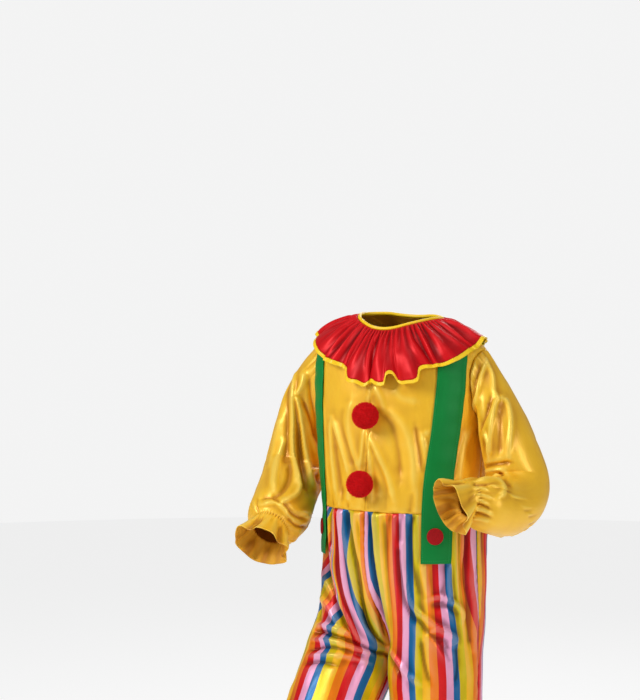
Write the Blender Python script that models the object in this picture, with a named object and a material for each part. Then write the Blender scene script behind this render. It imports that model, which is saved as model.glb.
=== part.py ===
import math

import bmesh
import bpy
from mathutils import Matrix, Vector

# A clown's one-piece costume, as it stands when it is worn: a satin bodice with
# sleeves, sewn at the waist to striped trousers, with a gathered collar and two
# braces. Metres. The origin is midway between the points where the shoulder
# seams meet the neckline. +X is the wearer's left, -Y the front, +Z up.

# Cloth and seams.
satinWall = 0.0014
collarWall = 0.0012
braceWall = 0.0016
edgingWall = 0.0022
seamGap = 0.0003
mitreLimit = 2.2

# Shoulders, neckline and armholes. Distances called down run over the cloth
# from the shoulder seam.
shoulderHalf = 0.215
shoulderDrop = 0.064
shoulderRoll = 0.120
slopeFade = 0.30
shoulderTilt = 0.065
tiltFade = 0.42
neckHalf = 0.100
neckFront = 0.102
neckBack = 0.052
armpitBelow = 0.270
waistBelow = 0.450
armholeBite = math.radians(19.0)
fullness = 2.3

# How the panels are divided.
panelColumns = 7
neckColumns = 4
sideRows = 5
armholeRows = 9
sideShare = sideRows / (sideRows + armholeRows)
sleeveHeadRows = 5
sleeveHeadFullness = {"left": 0.30, "right": 1.0}
sleeveArmRows = 9
hipRows = 6
legRows = 9

# Trousers.
crotchBelow = 0.800
ankleBelow = 1.330
hemBelow = 1.400
hemWave = 0.005
cuffWave = 0.004

# Collar, its edging and the neck binding.
collarLength = 0.116
collarSpread = 0.093
collarColumns = 64
collarRows = 4
collarFlutes = 16
collarLift = 0.0032
collarFlare = 0.009
fluteHeight = 0.013
bindingRadius = 0.0042
bindingInset = 0.0046
neckEdgeInset = 0.0068
bindingPoints = 32
edgingWidth = 0.009

# Braces, their buttons, and the pompoms.
braceWidth = 0.048
braceLift = 0.0034
braceFrontEnd = 0.562
braceBackEnd = 0.493
braceRows = 34
buttonRadius = 0.019
buttonThick = 0.0032
buttonBelow = 0.500
pompomRadius = 0.0315
pompomShift = 0.006
pompomBelow = {"pompom_upper": 0.229, "pompom_lower": 0.385}


def table(columns, *rows):
    names = columns.split()
    return [dict(zip(names, row)) for row in rows]


# Sections of the trunk, from the shoulder seam down. The wearer's hips are
# turned a little from the shoulders, about +Z.
trunkRows = table(
    "down half front back turn shift",
    (0.000, 0.215, 0.138, 0.120, 0.0, 0.000),
    (0.100, 0.214, 0.143, 0.125, 0.0, 0.000),
    (0.190, 0.213, 0.152, 0.130, 0.0, 0.000),
    (0.260, 0.212, 0.158, 0.134, -1.0, 0.000),
    (0.340, 0.211, 0.160, 0.137, -3.0, 0.002),
    (0.430, 0.207, 0.162, 0.139, -6.5, 0.005),
    (0.5185, 0.200, 0.163, 0.141, -8.5, 0.007),
    (0.620, 0.202, 0.163, 0.148, -8.5, 0.006),
    (0.760, 0.209, 0.160, 0.152, -8.0, 0.000),
    (0.870, 0.214, 0.155, 0.150, -8.0, -0.004),
)

# Sections of each sleeve, from the upper arm to the frill's edge: the centre,
# the half width away from the body and the half width towards the front.
sleeveRows = {
    "left": table(
        "station x y z out fore",
        (0.0, 0.272, -0.026, -0.264, 0.058, 0.070),
        (1.0, 0.290, -0.022, -0.325, 0.066, 0.073),
        (2.0, 0.306, -0.022, -0.382, 0.070, 0.073),
        (3.0, 0.312, -0.074, -0.420, 0.069, 0.068),
        (4.0, 0.302, -0.147, -0.423, 0.066, 0.064),
        (4.6, 0.286, -0.195, -0.411, 0.058, 0.057),
        (5.0, 0.272, -0.222, -0.402, 0.039, 0.041),
        (6.0, 0.246, -0.264, -0.416, 0.060, 0.064),
    ),
    "right": table(
        "station x y z out fore",
        (0.0, -0.279, -0.002, -0.254, 0.060, 0.070),
        (1.0, -0.290, -0.004, -0.325, 0.066, 0.074),
        (2.0, -0.294, -0.020, -0.382, 0.071, 0.078),
        (3.0, -0.276, -0.084, -0.437, 0.073, 0.076),
        (4.0, -0.262, -0.142, -0.474, 0.072, 0.072),
        (4.6, -0.256, -0.172, -0.488, 0.064, 0.066),
        (5.0, -0.253, -0.194, -0.498, 0.046, 0.046),
        (6.0, -0.252, -0.238, -0.535, 0.068, 0.068),
    ),
}

# Sections of each leg. The wearer stands on the left leg and steps forward
# with the right.
legSections = {
    "left": table(
        "below x y wide deep",
        (0.450, 0.100, 0.000, 0.100, 0.120),
        (0.620, 0.100, 0.004, 0.103, 0.128),
        (0.800, 0.098, -0.020, 0.106, 0.114),
        (0.950, 0.102, -0.022, 0.104, 0.108),
        (1.080, 0.108, -0.010, 0.100, 0.104),
        (1.220, 0.114, 0.012, 0.092, 0.098),
        (1.310, 0.117, 0.024, 0.084, 0.088),
        (1.357, 0.119, 0.028, 0.050, 0.055),
        (1.400, 0.120, 0.026, 0.080, 0.084),
    ),
    "right": table(
        "below x y wide deep",
        (0.450, -0.100, 0.000, 0.100, 0.120),
        (0.620, -0.104, -0.006, 0.103, 0.128),
        (0.800, -0.112, -0.050, 0.106, 0.114),
        (0.900, -0.124, -0.104, 0.105, 0.108),
        (1.010, -0.138, -0.152, 0.102, 0.106),
        (1.130, -0.150, -0.156, 0.096, 0.102),
        (1.250, -0.158, -0.134, 0.090, 0.094),
        (1.310, -0.163, -0.122, 0.084, 0.088),
        (1.357, -0.166, -0.114, 0.050, 0.055),
        (1.400, -0.168, -0.108, 0.080, 0.084),
    ),
}

# The largest folds, as troughs in a panel: how far across it from the centre
# seam, the height it runs over, its half width as a share of the panel, its
# depth, and how far it drifts across from top to bottom.
trouserFolds = {
    ("front", "left"): table(
        "across top bottom width depth drift",
        (0.16, 0.47, 0.79, 0.10, 0.008, -0.06),
        (0.55, 0.46, 1.00, 0.10, 0.009, -0.10),
        (0.86, 0.50, 1.28, 0.09, 0.007, -0.04),
        (0.40, 0.86, 1.32, 0.11, 0.008, 0.14),
    ),
    ("front", "right"): table(
        "across top bottom width depth drift",
        (0.62, 0.47, 0.84, 0.10, 0.010, -0.46),
        (0.86, 0.52, 0.98, 0.10, 0.010, -0.42),
        (0.28, 0.46, 0.74, 0.09, 0.007, -0.14),
        (0.60, 0.98, 1.32, 0.11, 0.008, 0.10),
    ),
    ("back", "left"): table(
        "across top bottom width depth drift",
        (0.30, 0.48, 0.86, 0.10, 0.008, 0.10),
        (0.70, 0.50, 1.10, 0.11, 0.008, -0.06),
        (0.42, 0.96, 1.30, 0.11, 0.008, 0.08),
    ),
    ("back", "right"): table(
        "across top bottom width depth drift",
        (0.34, 0.48, 0.84, 0.10, 0.008, 0.12),
        (0.74, 0.50, 1.06, 0.11, 0.008, -0.08),
        (0.46, 1.00, 1.31, 0.11, 0.008, 0.06),
    ),
}

# How far the collar's edge reaches, as a share of its length: it hangs lower to
# the wearer's left of the centre front, and is drawn up to the right of it.
collarHem = table(
    "around reach",
    (0.00, 1.00),
    (0.06, 1.04),
    (0.10, 1.12),
    (0.14, 1.23),
    (0.18, 1.22),
    (0.22, 1.12),
    (0.27, 1.02),
    (0.40, 1.00),
    (0.70, 1.00),
    (0.80, 1.04),
    (0.88, 1.00),
    (0.93, 0.92),
    (0.97, 0.98),
    (1.00, 1.00),
)


def smooth(value):
    value = min(max(value, 0.0), 1.0)
    return value * value * (3.0 - 2.0 * value)


def mix(first, second, share):
    return first + (second - first) * share


def readRow(rows, value):
    # Every column at one value of the first, on a smooth curve through the rows.
    key = next(iter(rows[0]))
    last = len(rows) - 1
    index = 0
    while index < last - 1 and value > rows[index + 1][key]:
        index += 1
    first, second = rows[index], rows[index + 1]
    before, after = rows[max(index - 1, 0)], rows[min(index + 2, last)]
    span = second[key] - first[key]
    h = min(max((value - first[key]) / span, 0.0), 1.0)
    result = {}
    for name in first:
        slopeFirst = (second[name] - before[name]) / (second[key] - before[key])
        slopeSecond = (after[name] - first[name]) / (after[key] - first[key])
        result[name] = (
            (2 * h**3 - 3 * h**2 + 1) * first[name]
            + (h**3 - 2 * h**2 + h) * span * slopeFirst
            + (3 * h**2 - 2 * h**3) * second[name]
            + (h**3 - h**2) * span * slopeSecond
        )
    return result


def downAt(below):
    # Distance over the cloth to a height below the origin, past the shoulder.
    return below - shoulderRoll + shoulderRoll * math.pi / 2


waistDown = downAt(waistBelow)
armpitDown = downAt(armpitBelow)


def shoulderSlope(x):
    def rise(value):
        return (max(abs(value) - 0.05, 0.0) / (shoulderHalf - 0.05)) ** 1.5

    return -shoulderDrop * (rise(x) - rise(neckHalf)) / (1.0 - rise(neckHalf))


def trunk(angle, down):
    # A point on the trunk: the angle runs from the centre front round to the
    # wearer's left, and over the shoulders the front and back meet at down 0.
    row = readRow(trunkRows, down)
    side = math.sin(angle)
    fore = max(1.0 - abs(side) ** fullness, 0.0) ** (1.0 / fullness)
    depth = -row["front"] * fore if math.cos(angle) > 0 else row["back"] * fore
    roll = min(down / shoulderRoll, math.pi / 2)
    x = row["half"] * side
    y = depth * math.sin(roll)
    z = shoulderSlope(x) * (1.0 - smooth(down / slopeFade))
    z -= shoulderTilt * x * (1.0 - smooth(down / tiltFade))
    z -= shoulderRoll * (1.0 - math.cos(roll))
    z -= max(down - shoulderRoll * math.pi / 2, 0.0)
    turned = Matrix.Rotation(math.radians(row["turn"]), 3, "Z") @ Vector((x, y, z))
    return turned + Vector((row["shift"], 0.0, 0.0))


def trunkAngle(x, down, facing):
    share = min(max(x / readRow(trunkRows, down)["half"], -1.0), 1.0)
    angle = math.asin(share)
    return angle if facing == "front" else math.pi - angle


def trunkNormal(angle, down):
    step = 0.004
    across = trunk(angle + step, down) - trunk(angle - step, down)
    along = trunk(angle, down + step) - trunk(angle, max(down - step, 0.0))
    return along.cross(across).normalized()


def onTrunk(x, down, facing, lift):
    angle = trunkAngle(x, down, facing)
    return trunk(angle, down) + trunkNormal(angle, down) * lift


# Bodice panels, as patches between a centre seam, the waist, the side seam
# with the armhole, and the neckline with the shoulder seam.


def centreEdge(facing, up):
    neck = (neckFront if facing == "front" else neckBack) + neckEdgeInset
    return (0.0, mix(waistDown, neck, up))


def outerEdge(up):
    if up <= sideShare:
        return (math.pi / 2, mix(waistDown, armpitDown, up / sideShare))
    share = (up - sideShare) / (1.0 - sideShare)
    angle = math.pi / 2 - armholeBite * math.sin(math.pi * share) ** 0.8
    return (angle, armpitDown * (1.0 - share))


def topEdge(facing, across):
    neckShare = neckColumns / panelColumns
    neck = (neckFront if facing == "front" else neckBack) + neckEdgeInset
    half = neckHalf + neckEdgeInset
    if across <= neckShare:
        turn = across / neckShare * math.pi / 2
        down = neck * math.cos(turn)
        x = half * math.sin(turn)
        return (math.asin(x / readRow(trunkRows, down)["half"]), down)
    start = math.asin(half / readRow(trunkRows, 0.0)["half"])
    return (mix(start, math.pi / 2, (across - neckShare) / (1.0 - neckShare)), 0.0)


def bodicePoint(facing, side, across, up):
    bottom = (across * math.pi / 2, waistDown)
    top = topEdge(facing, across)
    inner = centreEdge(facing, up)
    outer = outerEdge(up)
    corners = (
        (0.0, waistDown),
        (math.pi / 2, waistDown),
        centreEdge(facing, 1.0),
        (math.pi / 2, 0.0),
    )
    place = []
    for k in range(2):
        blend = mix(bottom[k], top[k], up) + mix(inner[k], outer[k], across)
        lower = mix(corners[0][k], corners[1][k], across)
        upper = mix(corners[2][k], corners[3][k], across)
        place.append(blend - mix(lower, upper, up))
    angle = place[0] if facing == "front" else math.pi - place[0]
    return trunk(angle if side == "left" else -angle, max(place[1], 0.0))


# Sleeves. The share around starts at the armpit, passes the front, is 0.5 at
# the shoulder and comes back along the back of the arm.


def armholePoint(side, around):
    facing = "front" if around <= 0.5 else "back"
    share = around * 2.0 if around <= 0.5 else (1.0 - around) * 2.0
    return bodicePoint(facing, side, 1.0, mix(sideShare, 1.0, share))


def sleeveCentre(side, station):
    row = readRow(sleeveRows[side], station)
    return Vector((row["x"], row["y"], row["z"]))


def sleeveFrame(side, station):
    sign = 1.0 if side == "left" else -1.0
    before = sleeveCentre(side, max(station - 0.35, 0.0))
    after = sleeveCentre(side, min(station + 0.35, 6.0))
    axis = (after - before).normalized()
    out = Vector((sign, 0.0, 0.0))
    out = (out - axis * out.dot(axis)).normalized()
    fore = axis.cross(out) * sign
    return axis, out, fore


def sleeveRing(side, around, station):
    row = readRow(sleeveRows[side], station)
    axis, out, fore = sleeveFrame(side, station)
    turn = around * 2.0 * math.pi
    centre = Vector((row["x"], row["y"], row["z"]))
    return centre - out * row["out"] * math.cos(turn) + fore * row["fore"] * math.sin(turn)


def sleeveHead(side, around, share):
    # Between the armhole and the upper arm's first section.
    sign = 1.0 if side == "left" else -1.0
    start = armholePoint(side, around)
    end = sleeveRing(side, around, 0.0)
    reach = (end - start).length
    upper = 0.5 - 0.5 * math.cos(around * 2.0 * math.pi)
    leave = Vector((sign * mix(0.80, 0.76, upper), 0.0, -mix(0.60, 0.65, upper)))
    full = mix(0.9, sleeveHeadFullness[side], upper)
    leave = leave * reach * full
    arrive = sleeveFrame(side, 0.0)[0] * reach * full
    h = share
    return (
        (2 * h**3 - 3 * h**2 + 1) * start
        + (h**3 - 2 * h**2 + h) * leave
        + (3 * h**2 - 2 * h**3) * end
        + (h**3 - h**2) * arrive
    )


# Trousers. The share across runs from the centre seam, or the inside leg seam
# below the crotch, to the side seam.


def legFrame(side, below):
    sign = 1.0 if side == "left" else -1.0
    rows = legSections[side]
    before = readRow(rows, max(below - 0.03, waistBelow))
    after = readRow(rows, min(below + 0.03, hemBelow))
    along = Vector((after["x"] - before["x"], after["y"] - before["y"], before["below"] - after["below"]))
    tilt = smooth((below - 0.68) / 0.22)
    axis = mix(Vector((0.0, 0.0, -1.0)), along.normalized(), tilt).normalized()
    out = Vector((sign, 0.0, 0.0))
    out = (out - axis * out.dot(axis)).normalized()
    fore = axis.cross(out) * sign
    return axis, out, fore


def legRing(facing, side, across, below):
    row = readRow(legSections[side], below)
    axis, out, fore = legFrame(side, below)
    angle = (across - 0.5) * math.pi
    reach = math.cos(angle) * (1.0 if facing == "front" else -1.0)
    centre = Vector((row["x"], row["y"], -below))
    return centre + out * row["wide"] * math.sin(angle) + fore * row["deep"] * reach


def hipBlend(facing, side, across, below):
    # The one tube at the waist becomes a leg at the crotch.
    share = min(max((below - waistBelow) / (crotchBelow - waistBelow), 0.0), 1.0)
    angle = across * math.pi / 2
    if facing == "back":
        angle = math.pi - angle
    if side == "right":
        angle = -angle
    hip = trunk(angle, downAt(min(below, crotchBelow)))
    return mix(hip, legRing(facing, side, across, below), smooth(share**1.8) ** 1.3)


def trouserPoint(facing, side, across, below):
    point = hipBlend(facing, side, across, below)
    if below < crotchBelow:
        here = hipBlend(facing, side, 0.0, below)
        other = hipBlend(facing, "right" if side == "left" else "left", 0.0, below)
        return point + (other - here) * 0.5 * (1.0 - across) ** 2
    here = legRing(facing, side, 0.0, crotchBelow)
    other = legRing(facing, "right" if side == "left" else "left", 0.0, crotchBelow)
    fade = 1.0 - smooth((below - crotchBelow) / 0.16)
    return point + (other - here) * 0.5 * fade * (1.0 - across) ** 2


def foldDepth(folds, across, below):
    total = 0.0
    for fold in folds:
        share = (below - fold["top"]) / (fold["bottom"] - fold["top"])
        if not 0.0 < share < 1.0:
            continue
        middle = fold["across"] + fold["drift"] * share
        near = math.exp(-(((across - middle) / fold["width"]) ** 2))
        total += fold["depth"] * near * math.sin(math.pi * share) ** 0.6
    edge = smooth(across / 0.12) * smooth((1.0 - across) / 0.12)
    return total * edge


# Collar. Around starts at the centre front and runs to the wearer's left; out
# is 0 at the neck binding and 1 at the edge.


def collarPoint(around, out, past=0.0):
    turn = around * 2.0 * math.pi
    facing = "front" if math.cos(turn) >= 0.0 else "back"
    neck = neckFront if facing == "front" else neckBack
    reach = out * readRow(collarHem, around % 1.0)["reach"] + past / collarLength
    start = bindingInset
    x = (neckHalf + start + collarSpread * reach) * math.sin(turn)
    down = (neck + start + collarLength * reach) * abs(math.cos(turn))
    limit = readRow(trunkRows, down)["half"] * 0.985
    x = min(max(x, -limit), limit)
    wave = 0.5 - 0.5 * math.cos(collarFlutes * turn + 0.9 * math.sin(3.0 * turn))
    wave *= mix(0.55, 1.0, abs(math.cos(turn)))
    lift = collarLift + collarFlare * reach + fluteHeight * wave * min(reach, 1.0) ** 1.4
    return onTrunk(x, down, facing, lift)


# Braces, from the bodice's points moved out.


def braceCentre(down):
    return mix(0.160, 0.171, smooth(down / 0.16)) - 0.012 * smooth((down - 0.20) / 0.34)


def bracePoint(side, share, across):
    # The share runs from the front end over the shoulder to the back end.
    frontDown = downAt(braceFrontEnd)
    backDown = downAt(braceBackEnd)
    length = frontDown + backDown
    run = share * length
    facing = "front" if run < frontDown else "back"
    down = abs(frontDown - run)
    x = braceCentre(down) + (across - 0.5) * braceWidth
    sign = 1.0 if side == "left" else -1.0
    angle = trunkAngle(x, down, facing) * sign
    return trunk(angle, down) + trunkNormal(angle, down) * braceLift


# Meshes. A panel is a grid of points with a wall round it; where panels meet
# they share their normals, so that the walls are mitred along the seam.


def pointKey(point):
    return tuple(round(value, 4) for value in point)


def gridNormals(grid, closed, sign):
    rows, columns = len(grid), len(grid[0])
    normals = [[Vector((0.0, 0.0, 0.0)) for _ in range(columns)] for _ in range(rows)]
    for i in range(rows - 1):
        for j in range(columns if closed else columns - 1):
            k = (j + 1) % columns
            first = grid[i + 1][k] - grid[i][j]
            second = grid[i + 1][j] - grid[i][k]
            normal = first.cross(second) * sign
            for a, b in ((i, j), (i, k), (i + 1, j), (i + 1, k)):
                normals[a][b] += normal
    return normals


def shareNormals(panels):
    groups = {}
    for panel in panels:
        panel["own"] = gridNormals(panel["grid"], panel["closed"], panel["sign"])
        for row, normals in zip(panel["grid"], panel["own"]):
            for point, normal in zip(row, normals):
                here = groups.setdefault(pointKey(point), {})
                here[panel["group"]] = here.get(panel["group"], Vector((0.0, 0.0, 0.0))) + normal
    for panel in panels:
        panel["shared"] = []
        for row in panel["grid"]:
            line = []
            for point in row:
                total = Vector((0.0, 0.0, 0.0))
                for normal in groups[pointKey(point)].values():
                    total += normal.normalized()
                line.append(total.normalized())
            panel["shared"].append(line)


def seamInsets(panel):
    # Each seam edge moves half the gap into its own panel.
    grid, shared, closed = panel["grid"], panel["shared"], panel["closed"]
    rows, columns = len(grid), len(grid[0])
    moved = [[point.copy() for point in row] for row in grid]

    def inset(i, j, tangent, inward):
        direction = shared[i][j].cross(tangent).normalized()
        if direction.dot(inward) < 0.0:
            direction = -direction
        moved[i][j] += direction * seamGap / 2

    for edge in panel["seams"]:
        if edge in ("first", "last"):
            i = 0 if edge == "first" else rows - 1
            inner = 1 if edge == "first" else rows - 2
            for j in range(columns):
                if j < panel["seamStart"].get(edge, 0):
                    continue
                if closed:
                    tangent = grid[i][(j + 1) % columns] - grid[i][j - 1]
                else:
                    tangent = grid[i][min(j + 1, columns - 1)] - grid[i][max(j - 1, 0)]
                inset(i, j, tangent, grid[inner][j] - grid[i][j])
        else:
            j = 0 if edge == "centre" else columns - 1
            inner = 1 if edge == "centre" else columns - 2
            for i in range(rows):
                tangent = grid[min(i + 1, rows - 1)][j] - grid[max(i - 1, 0)][j]
                inset(i, j, tangent, grid[i][inner] - grid[i][j])
    return moved


def buildWall(panel, collection):
    grid, own, shared = panel["grid"], panel["own"], panel["shared"]
    rows, columns = len(grid), len(grid[0])
    closed, flip = panel["closed"], panel["sign"] < 0
    moved = seamInsets(panel)
    shape = bmesh.new()
    outer, inner = [], []
    for i in range(rows):
        outerRow, innerRow = [], []
        for j in range(columns):
            slant = max(own[i][j].normalized().dot(shared[i][j]), 1.0 / mitreLimit)
            offset = shared[i][j] * panel["wall"] / 2 / slant
            outerRow.append(shape.verts.new(moved[i][j] + offset))
            innerRow.append(shape.verts.new(moved[i][j] - offset))
        outer.append(outerRow)
        inner.append(innerRow)

    def triangle(a, b, c):
        shape.faces.new((a, c, b) if flip else (a, b, c))

    def strip(a, b, layerA, layerB, turned):
        # The wall between two edge points, split the same way on both panels.
        low, high = (a, b) if pointKey(grid[a[0]][a[1]])[::-1] < pointKey(grid[b[0]][b[1]])[::-1] else (b, a)
        cut = (layerA[low[0]][low[1]], layerB[high[0]][high[1]])
        quad = [layerA[a[0]][a[1]], layerA[b[0]][b[1]], layerB[b[0]][b[1]], layerB[a[0]][a[1]]]
        if turned:
            quad.reverse()
        start = quad.index(cut[0])
        quad = quad[start:] + quad[:start]
        triangle(quad[0], quad[1], quad[2])
        triangle(quad[0], quad[2], quad[3])

    for i in range(rows - 1):
        for j in range(columns if closed else columns - 1):
            k = (j + 1) % columns
            straight = (grid[i][j] - grid[i + 1][k]).length <= (grid[i][k] - grid[i + 1][j]).length
            for layer, turned in ((outer, False), (inner, True)):
                a, b, c, d = layer[i][j], layer[i][k], layer[i + 1][k], layer[i + 1][j]
                if turned:
                    a, b, c, d = a, d, c, b
                if straight:
                    triangle(a, b, c)
                    triangle(a, c, d)
                elif turned:
                    triangle(b, c, d)
                    triangle(b, d, a)
                else:
                    triangle(b, c, d)
                    triangle(b, d, a)
    for j in range(columns if closed else columns - 1):
        k = (j + 1) % columns
        strip((0, j), (0, k), outer, inner, True)
        strip((rows - 1, j), (rows - 1, k), outer, inner, False)
    if not closed:
        for i in range(rows - 1):
            strip((i, 0), (i + 1, 0), outer, inner, False)
            strip((i, columns - 1), (i + 1, columns - 1), outer, inner, True)
    mesh = bpy.data.meshes.new(panel["name"])
    shape.to_mesh(mesh)
    shape.free()
    mesh.shade_smooth()
    mesh.set_sharp_from_angle(angle=math.radians(50.0))
    piece = bpy.data.objects.new(panel["name"], mesh)
    collection.objects.link(piece)
    return piece


def makePanel(name, group, grid, sign, seams, wall=satinWall, closed=False, seamStart=None):
    return {
        "name": name,
        "group": group,
        "grid": grid,
        "sign": sign,
        "seams": seams,
        "wall": wall,
        "closed": closed,
        "seamStart": seamStart or {},
    }


def makeMaterial(name, colour, roughness):
    material = bpy.data.materials.new(name)
    material.use_nodes = True
    shader = material.node_tree.nodes["Principled BSDF"]
    shader.inputs["Base Color"].default_value = (*colour, 1.0)
    shader.inputs["Roughness"].default_value = roughness
    shader.inputs["Metallic"].default_value = 0.0
    material.diffuse_color = (*colour, 1.0)
    return material


def bodicePanels():
    panels = []
    rows = sideRows + armholeRows
    for facing in ("front", "back"):
        for side in ("left", "right"):
            grid = []
            for i in range(rows + 1):
                line = [bodicePoint(facing, side, j / panelColumns, i / rows) for j in range(panelColumns + 1)]
                grid.append(line)
            sign = 1.0 if (facing == "front") == (side == "left") else -1.0
            panels.append(makePanel(
                f"bodice_{facing}_{side}", "bodice", grid, sign,
                ("first", "last", "centre", "outer"), seamStart={"last": neckColumns},
            ))
    return panels


def sleevePanels():
    panels = []
    columns = armholeRows * 2
    for side in ("left", "right"):
        grid = []
        for i in range(sleeveHeadRows):
            share = i / sleeveHeadRows
            grid.append([sleeveHead(side, j / columns, share) for j in range(columns)])
        stations = [5.0 * i / sleeveArmRows for i in range(sleeveArmRows)]
        stations += [4.72, 5.0, 5.5, 6.0]
        for station in stations:
            wave = cuffWave * smooth((station - 5.0) / 0.8)
            line = []
            for j in range(columns):
                point = sleeveRing(side, j / columns, station)
                outward = (point - sleeveCentre(side, station)).normalized()
                line.append(point + outward * wave * (-1) ** j)
            grid.append(line)
        grid[0] = [armholePoint(side, j / columns) for j in range(columns)]
        sign = -1.0 if side == "left" else 1.0
        panels.append(makePanel(f"sleeve_{side}", "sleeve", grid, sign, ("first",), closed=True))
    return panels


def trouserHeights():
    heights = []
    for i in range(hipRows + 1):
        share = 1.0 - (1.0 - i / hipRows) ** 1.4
        heights.append(mix(waistBelow, crotchBelow, share))
    heights += [mix(crotchBelow, ankleBelow, i / legRows) for i in range(1, legRows + 1)]
    heights += [1.357, 1.378, hemBelow]
    return heights


def trouserPanels():
    panels = []
    for facing in ("front", "back"):
        for side in ("left", "right"):
            folds = trouserFolds[(facing, side)]
            sign = -1.0 if (facing == "front") == (side == "left") else 1.0
            grid = []
            for below in trouserHeights():
                wave = hemWave * smooth((below - 1.357) / 0.035)
                line = []
                for j in range(panelColumns + 1):
                    across = j / panelColumns
                    point = trouserPoint(facing, side, across, below)
                    axisRow = readRow(legSections[side], below)
                    centre = Vector((axisRow["x"], axisRow["y"], point.z))
                    outward = (point - centre).normalized()
                    point = point + outward * wave * (-1) ** j
                    line.append(point)
                grid.append(line)
            normals = gridNormals(grid, False, sign)
            for row, line, below in zip(grid, normals, trouserHeights()):
                for j, normal in enumerate(line):
                    depth = foldDepth(folds, j / panelColumns, below)
                    row[j] = row[j] - normal.normalized() * depth
            panels.append(makePanel(
                f"trouser_{facing}_{side}", "trousers", grid, sign, ("first", "centre", "outer"),
            ))
    return panels


def collarPanels():
    grid = []
    for i in range(collarRows + 1):
        line = [collarPoint(j / collarColumns, i / collarRows) for j in range(collarColumns)]
        grid.append(line)
    collar = makePanel("collar", "collar", grid, -1.0, (), wall=collarWall, closed=True)
    grid = []
    for past in (seamGap * 2, edgingWidth):
        grid.append([collarPoint(j / collarColumns, 1.0, past) for j in range(collarColumns)])
    edging = makePanel("collar_edging", "edging", grid, -1.0, (), wall=edgingWall, closed=True)
    return [collar, edging]


def bracePanels():
    panels = []
    for side in ("left", "right"):
        sign = 1.0 if side == "left" else -1.0
        grid = []
        for i in range(braceRows + 1):
            grid.append([bracePoint(side, i / braceRows, j / 2) for j in range(3)])
        panels.append(makePanel(f"brace_{side}", f"brace_{side}", grid, sign, (), wall=braceWall))
    return panels


def makeNeckBinding(collection):
    curve = bpy.data.curves.new("neck_binding", "CURVE")
    curve.dimensions = "3D"
    curve.bevel_depth = bindingRadius
    curve.bevel_resolution = 1
    spline = curve.splines.new("POLY")
    spline.points.add(bindingPoints - 1)
    spline.use_cyclic_u = True
    for index in range(bindingPoints):
        turn = index / bindingPoints * 2.0 * math.pi
        facing = "front" if math.cos(turn) >= 0.0 else "back"
        neck = neckFront if facing == "front" else neckBack
        place = onTrunk(neckHalf * math.sin(turn), neck * abs(math.cos(turn)), facing, 0.0024)
        spline.points[index].co = (*place, 1.0)
    piece = bpy.data.objects.new("neck_binding", curve)
    collection.objects.link(piece)
    return piece


def seatOn(angle, down, lift, height):
    # A matrix that stands +Z on the trunk's normal there.
    normal = trunkNormal(angle, down)
    place = trunk(angle, down) + normal * (lift + height)
    return Matrix.Translation(place) @ normal.to_track_quat("Z", "Y").to_matrix().to_4x4()


def moveTo(piece, collection, name, matrix):
    piece.name = name
    piece.data.name = name
    piece.matrix_world = matrix
    for other in piece.users_collection:
        other.objects.unlink(piece)
    collection.objects.link(piece)
    piece.data.shade_smooth()
    piece.data.set_sharp_from_angle(angle=math.radians(40.0))
    return piece


def makeButtons(collection):
    pieces = []
    down = downAt(buttonBelow)
    for side in ("left", "right"):
        sign = 1.0 if side == "left" else -1.0
        angle = trunkAngle(braceCentre(down), down, "front") * sign
        lift = braceLift + braceWall / 2 + seamGap + 0.0004
        bpy.ops.mesh.primitive_cylinder_add(vertices=24, radius=buttonRadius, depth=buttonThick)
        matrix = seatOn(angle, down, lift, buttonThick / 2)
        pieces.append(moveTo(bpy.context.active_object, collection, f"brace_button_{side}", matrix))
    return pieces


def makePompoms(collection):
    pieces = []
    for name, below in pompomBelow.items():
        down = downAt(below)
        angle = trunkAngle(pompomShift, down, "front")
        bpy.ops.mesh.primitive_ico_sphere_add(subdivisions=3, radius=pompomRadius)
        matrix = seatOn(angle, down, satinWall / 2 + seamGap, pompomRadius)
        pieces.append(moveTo(bpy.context.active_object, collection, name, matrix))
    return pieces


def main():
    for old in list(bpy.data.objects):
        bpy.data.objects.remove(old, do_unlink=True)
    collection = bpy.data.collections.new("clown_costume")
    bpy.context.scene.collection.children.link(collection)
    garment = bodicePanels() + sleevePanels() + trouserPanels()
    shareNormals(garment)
    trims = collarPanels() + bracePanels()
    shareNormals(trims)
    pieces = [buildWall(panel, collection) for panel in garment + trims]
    pieces.append(makeNeckBinding(collection))
    pieces += makeButtons(collection)
    pieces += makePompoms(collection)
    colours = {
        "bodice": ((0.82, 0.46, 0.03), 0.34),
        "sleeve": ((0.82, 0.46, 0.03), 0.32),
        "trouser": ((0.78, 0.30, 0.05), 0.38),
        "collar": ((0.58, 0.01, 0.015), 0.34),
        "collar_edging": ((0.95, 0.66, 0.01), 0.42),
        "neck_binding": ((0.95, 0.66, 0.01), 0.42),
        "brace": ((0.01, 0.26, 0.06), 0.42),
        "brace_button": ((0.42, 0.015, 0.02), 0.90),
        "pompom": ((0.62, 0.012, 0.015), 0.95),
    }
    for piece in pieces:
        kinds = [kind for kind in colours if piece.name.startswith(kind)]
        colour, roughness = colours[max(kinds, key=len)]
        piece.data.materials.append(makeMaterial(piece.name, colour, roughness))


main()
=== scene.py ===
import math

import bpy
import numpy as np
from mathutils import Matrix, Vector, noise


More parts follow.
